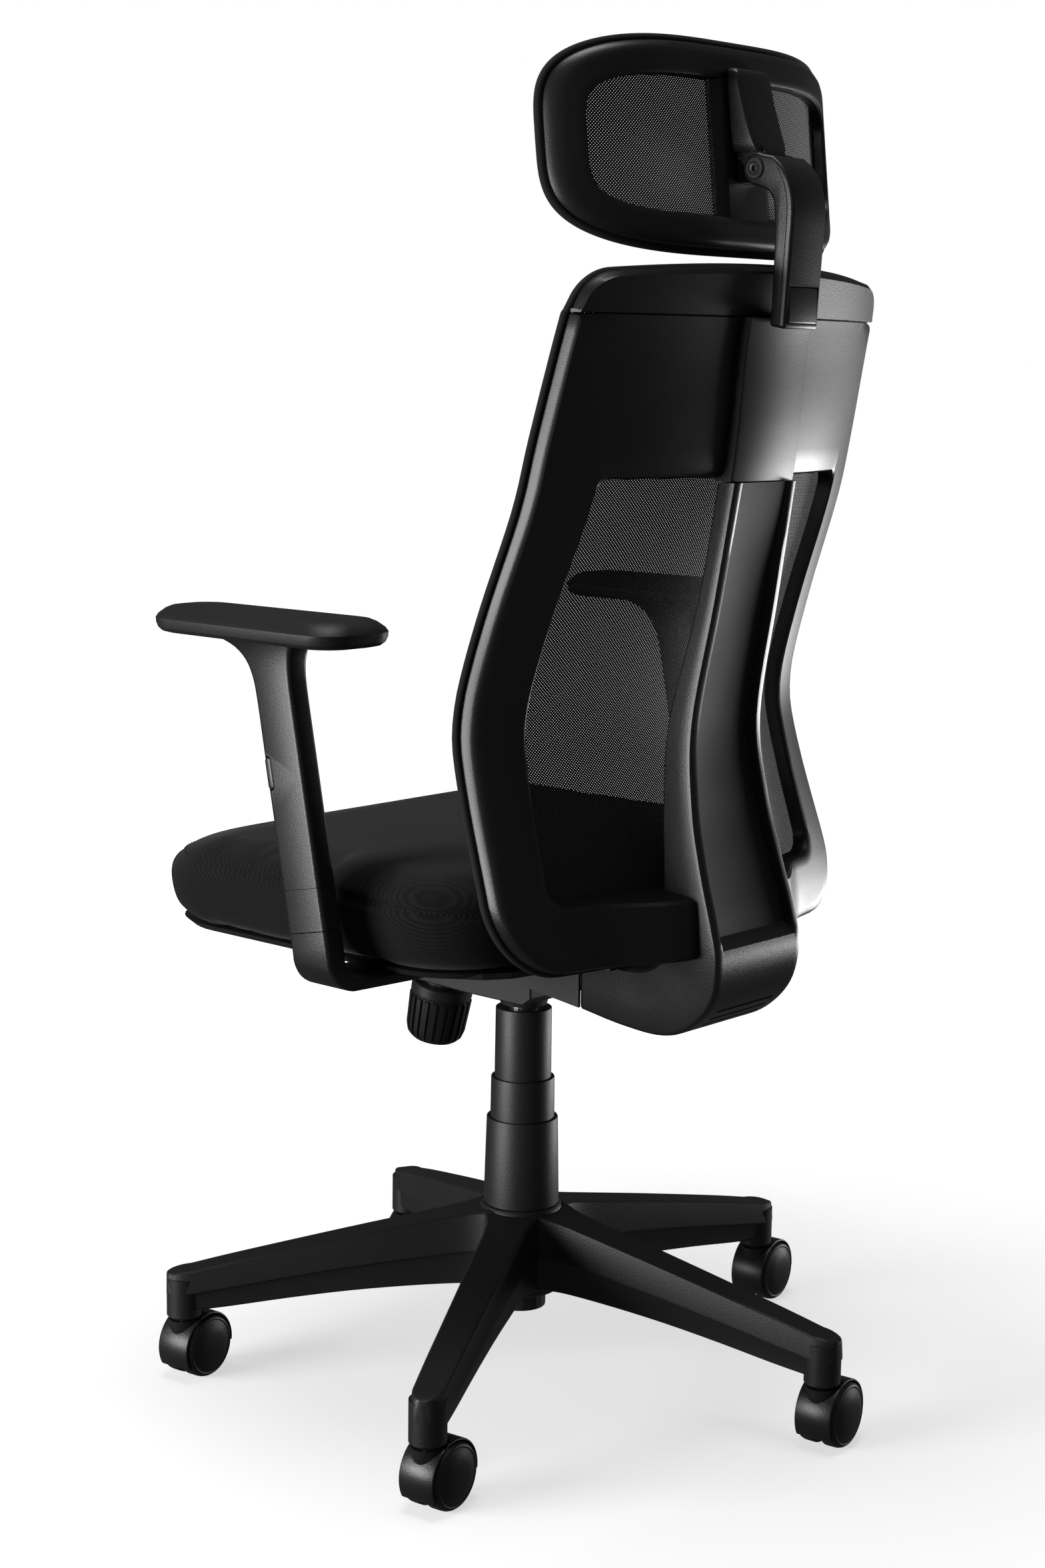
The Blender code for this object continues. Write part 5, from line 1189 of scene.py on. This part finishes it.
# %% Headrest knit and its piping
knit_rows = []
for k in range(41):
    share = -1 + 2 * k / 40
    up = share * (HEAD_TALL - 0.0030)
    span = (HEAD_HALF - 0.0030) * (1 - (abs(share) * 0.985) ** 4.0) ** (1 / 4.0)
    knit_rows.append([head_point(span * (-1 + 2 * j / 50), up, -MESH_CLEAR) for j in range(51)])
head_mesh, tall, wide = sheet_of(knit_rows, "headrest_mesh")
head_knit = part("headrest_knit_sheet", head_mesh, BACK_KNIT)
mount(head_knit, "headrest", "mesh", "headrest_mesh")
PIPING_RADIUS = 0.0036
piping_path = []
for k in range(160):
    x, up = oblong_point(2 * math.pi * k / 160, HEAD_HALF - 0.0005, HEAD_TALL - 0.0005, HEAD_CORNER)
    piping_path.append(head_point(x, up, 0.0012))
mount(part("headrest_piping", closed_tube(piping_path, PIPING_RADIUS, 12), EDGE_TEXTILE), "headrest", "mesh")

# %% Bracket on the headrest
def ring_rear(z):
    return head_point(0, (z - HEAD_Z) / math.cos(HEAD_LEAN), HEAD_WALL).y


bracket_rows = [(z, ring_rear(z) + GAP, ring_rear(z) + thick, half) for z, thick, half in smooth_rows([
    (1.1290, 0.0270, 0.0200), (1.1360, 0.0255, 0.0222), (1.1500, 0.0215, 0.0228), (1.1700, 0.0170, 0.0228),
    (1.1880, 0.0140, 0.0228), (1.1945, 0.0120, 0.0218), (1.1970, 0.0080, 0.0190)], 3)]
plate_mesh = loft([[Vector((x, y, z)) for x, y in rounded(half, front, rear, 0.0032, 5)]
                   for z, front, rear, half in bracket_rows])
neck_mesh = loft([[Vector((x, y, z)) for x, y in ((-0.0138, front), (0.0138, front), (0.0138, rear), (-0.0138, rear))]
                  for z, front, rear in [(z, ring_rear(z) + GAP, ring_rear(z) + thick) for z, thick in (
                      (1.1045, 0.0300), (1.1260, 0.0310), (1.1400, 0.0235))]])
knuckle = placed(disc(0.0115, -0.0138, 0.0138, 40), AT_PIVOT)
pivot_hole = placed(disc(0.0039, -0.05, 0.05, 32), AT_PIVOT)
head_bracket = part("headrest_bracket_arm", plate_mesh, SATIN, 28)
cut(head_bracket, neck_mesh, knuckle, how="UNION")
cut(head_bracket, pivot_hole)
mount(head_bracket, "headrest", "plastic", "headrest_bracket")

# %% [markdown]
# ## Headrest post
# A flat upright that slides in the top of the back and bends forward to a fork, which holds the bracket's
# knuckle. A cover closes its rear, so a thin line runs down each side, and a button sits in its lower end.

# %% Post, cover line, screw and button
POST_HALF = 0.0235
post_view = smooth_rows([(0.2932, 0.9852), (0.2950, 1.0150), (0.2975, 1.0550), (0.2985, 1.0830), (0.2950, 1.1010),
                         (0.2870, 1.1150), (0.2760, 1.1245)], 5)
post_view += arc(PIVOT.y, PIVOT.z, 0.0130, 62, 250, 26)
post_view += smooth_rows([(0.2700, 1.0980), (0.2780, 1.0880), (0.2800, 1.0600), (0.2790, 1.0080),
                          (0.2775, 0.9880)], 4)
TO_SIDE = Matrix(((0, 0, 1, 0), (1, 0, 0, 0), (0, 1, 0, 0), (0, 0, 0, 1)))
post = part("headrest_upright", placed(prism(post_view, -POST_HALF, POST_HALF), TO_SIDE), SATIN, 30)
bevel(post, 0.0026, 3, 50)
line_view = [(y - 0.0062, z) for y, z in post_view[:26]] + [(y - 0.0055, z) for y, z in reversed(post_view[:26])]
for sign in (1, -1):
    groove = placed(prism(line_view, sign * POST_HALF - 0.0006, sign * POST_HALF + 0.0006), TO_SIDE)
    cut(post, groove)
fork = box((-0.0145, PIVOT.y - 0.03, PIVOT.z - 0.0165), (0.0145, PIVOT.y + 0.0150, PIVOT.z + 0.03))
button_hole = box((-0.0205, 0.2855, 0.9895), (0.0205, 0.3100, 1.0200))
cut(post, fork, pivot_hole, button_hole)
mount(post, "headrest_post", "plastic", "headrest_post")
release = part("post_release", box((-0.0200, 0.2890, 0.9900), (0.0200, 0.2950, 1.0195)), SATIN, 30)
bevel(release, 0.0016, 3, 40)
mount(release, "post_button", "plastic", "post_button")
screw_mesh = turned([(0, -0.0240), (0.0035, -0.0240), (0.0035, 0.0228), (0.0078, 0.0232), (0.0088, 0.0240),
                     (0.0088, 0.0248), (0.0078, 0.0254), (0.0058, 0.0254), (0.0050, 0.0248), (0.0042, 0.0246),
                     (0.0026, 0.0246), (0.0026, 0.0225), (0, 0.0225)], 48)
mount(part("headrest_pivot_screw", placed(screw_mesh, AT_PIVOT), DARK_STEEL, 30),
      "headrest_post", "steel", "headrest_screw")

# %% [markdown]
# ## Floor, light and camera
# The chair stands on a pale floor before a white backdrop. The floor glows, and its glow is darker near its
# middle: a painted shadow under the chair. A broad lamp at floor level on the right rakes up along the
# plastic, with a weak low one beside it; one more lights the left, and one the top.

# %% Studio
scene = bpy.context.scene
floor_finish, floor_shader, floor_place, _ = new_finish("studio_white_painted_shadow", (0.80, 0.80, 0.80), 0.9)
# the floor glows, and the glow is darker near the floor's middle, where the chair stands: a painted shadow under the
# chair
distance_for_painted_shadow = floor_place.signal(floor_place.node("VectorMath", {"operation": "LENGTH"}, {0: floor_place}), 1)
feed(distance_for_painted_shadow.above(1.10, 0.70).to(0.60, 1.0), floor_shader, "Emission Color")
floor_shader.inputs["Specular IOR Level"].default_value = 0.0
floor_shader.inputs["Emission Strength"].default_value = 1.0
floor = part("studio_floor", prism([(-30, -30), (30, -30), (30, 30), (-30, 30)], -0.02, 0.0), floor_finish)
floor.visible_glossy = floor.visible_diffuse = False
floor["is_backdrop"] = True
ROOM_LIGHT = 0.07
world = bpy.data.worlds.new("pale_room")
scene.world = world
world.use_nodes = True
room = world.node_tree.nodes["Background"]
ray = world.node_tree.nodes.new("ShaderNodeLightPath")
strength = world.node_tree.nodes.new("ShaderNodeMapRange")
strength.inputs["To Min"].default_value, strength.inputs["To Max"].default_value = ROOM_LIGHT, 1.0
world.node_tree.links.new(ray.outputs["Is Camera Ray"], strength.inputs["Value"])
world.node_tree.links.new(strength.outputs[0], room.inputs["Strength"])
room.inputs["Color"].default_value = (1, 1, 1, 1)
scene.view_settings.view_transform = "Standard"
print("the room's own light is", ROOM_LIGHT, "and its backdrop is white")

# %% Camera
CAMERA_PLACE = COLUMN + Vector((1.7781, 1.5619, 0.9566))
HEADING, YAW, PITCH, ROLL = math.radians(48.7046), -0.0018, 0.1615, 0.0141
ahead = Vector((math.sin(YAW) * math.cos(PITCH), math.cos(YAW) * math.cos(PITCH), -math.sin(PITCH)))
ahead = Vector((-math.cos(HEADING) * ahead.x - math.sin(HEADING) * ahead.y,
                math.sin(HEADING) * ahead.x - math.cos(HEADING) * ahead.y, ahead.z))
level_right = ahead.cross(Vector((0, 0, 1))).normalized()
level_up = level_right.cross(ahead)
right = level_right * math.cos(ROLL) + level_up * math.sin(ROLL)
up = level_up * math.cos(ROLL) - level_right * math.sin(ROLL)
lens = bpy.data.cameras.new("studio_camera")
lens.sensor_width, lens.lens = 36.0, 59.59
lens.clip_start, lens.clip_end = 0.05, 60.0
camera = bpy.data.objects.new("studio_camera", lens)
scene.collection.objects.link(camera)
camera.matrix_world = Matrix.Translation(CAMERA_PLACE) @ Matrix((right, up, -ahead)).transposed().to_4x4()
scene.camera = camera
print("camera at", tuple(round(n, 3) for n in CAMERA_PLACE), "looking", tuple(round(n, 3) for n in ahead))


# %% Lamps
def lamp(name, place, aim, size, power):
    light = bpy.data.lights.new(name, "AREA")
    light.shape, light.size, light.size_y, light.energy = "RECTANGLE", size[0], size[1], power
    holder = bpy.data.objects.new(name, light)
    scene.collection.objects.link(holder)
    place, aim = Vector(place), Vector(aim)
    turn = (aim - place).to_track_quat("-Z", "Y").to_matrix().to_4x4()
    holder.matrix_world = Matrix.Translation(place) @ turn
    print(name, power, "W")


lamp("right_floor_lamp", (-2.75, 0.95, 0.03), (-2.60, 0.90, 3.0), (2.0, 2.0), 160)
lamp("right_low_lamp", (-3.1, 0.9, 0.30), (0.0, 0.0, 0.8), (1.3, 0.55), 13)
lamp("left_lamp", (3.0, -1.2, 0.70), (0.0, 0.0, 0.65), (1.7, 1.3), 95)
lamp("top_lamp", (0.2, 0.0, 3.4), (0.0, 0.0, 0.5), (1.4, 1.4), 35)

# %% Sizes of the CAD solids and of the made parts
low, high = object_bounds()
{"cad": CAD_BOX, "visual": [[round(n, 5) for n in low], [round(n, 5) for n in high]]}
print("visual box", [round(n, 4) for n in low], [round(n, 4) for n in high])
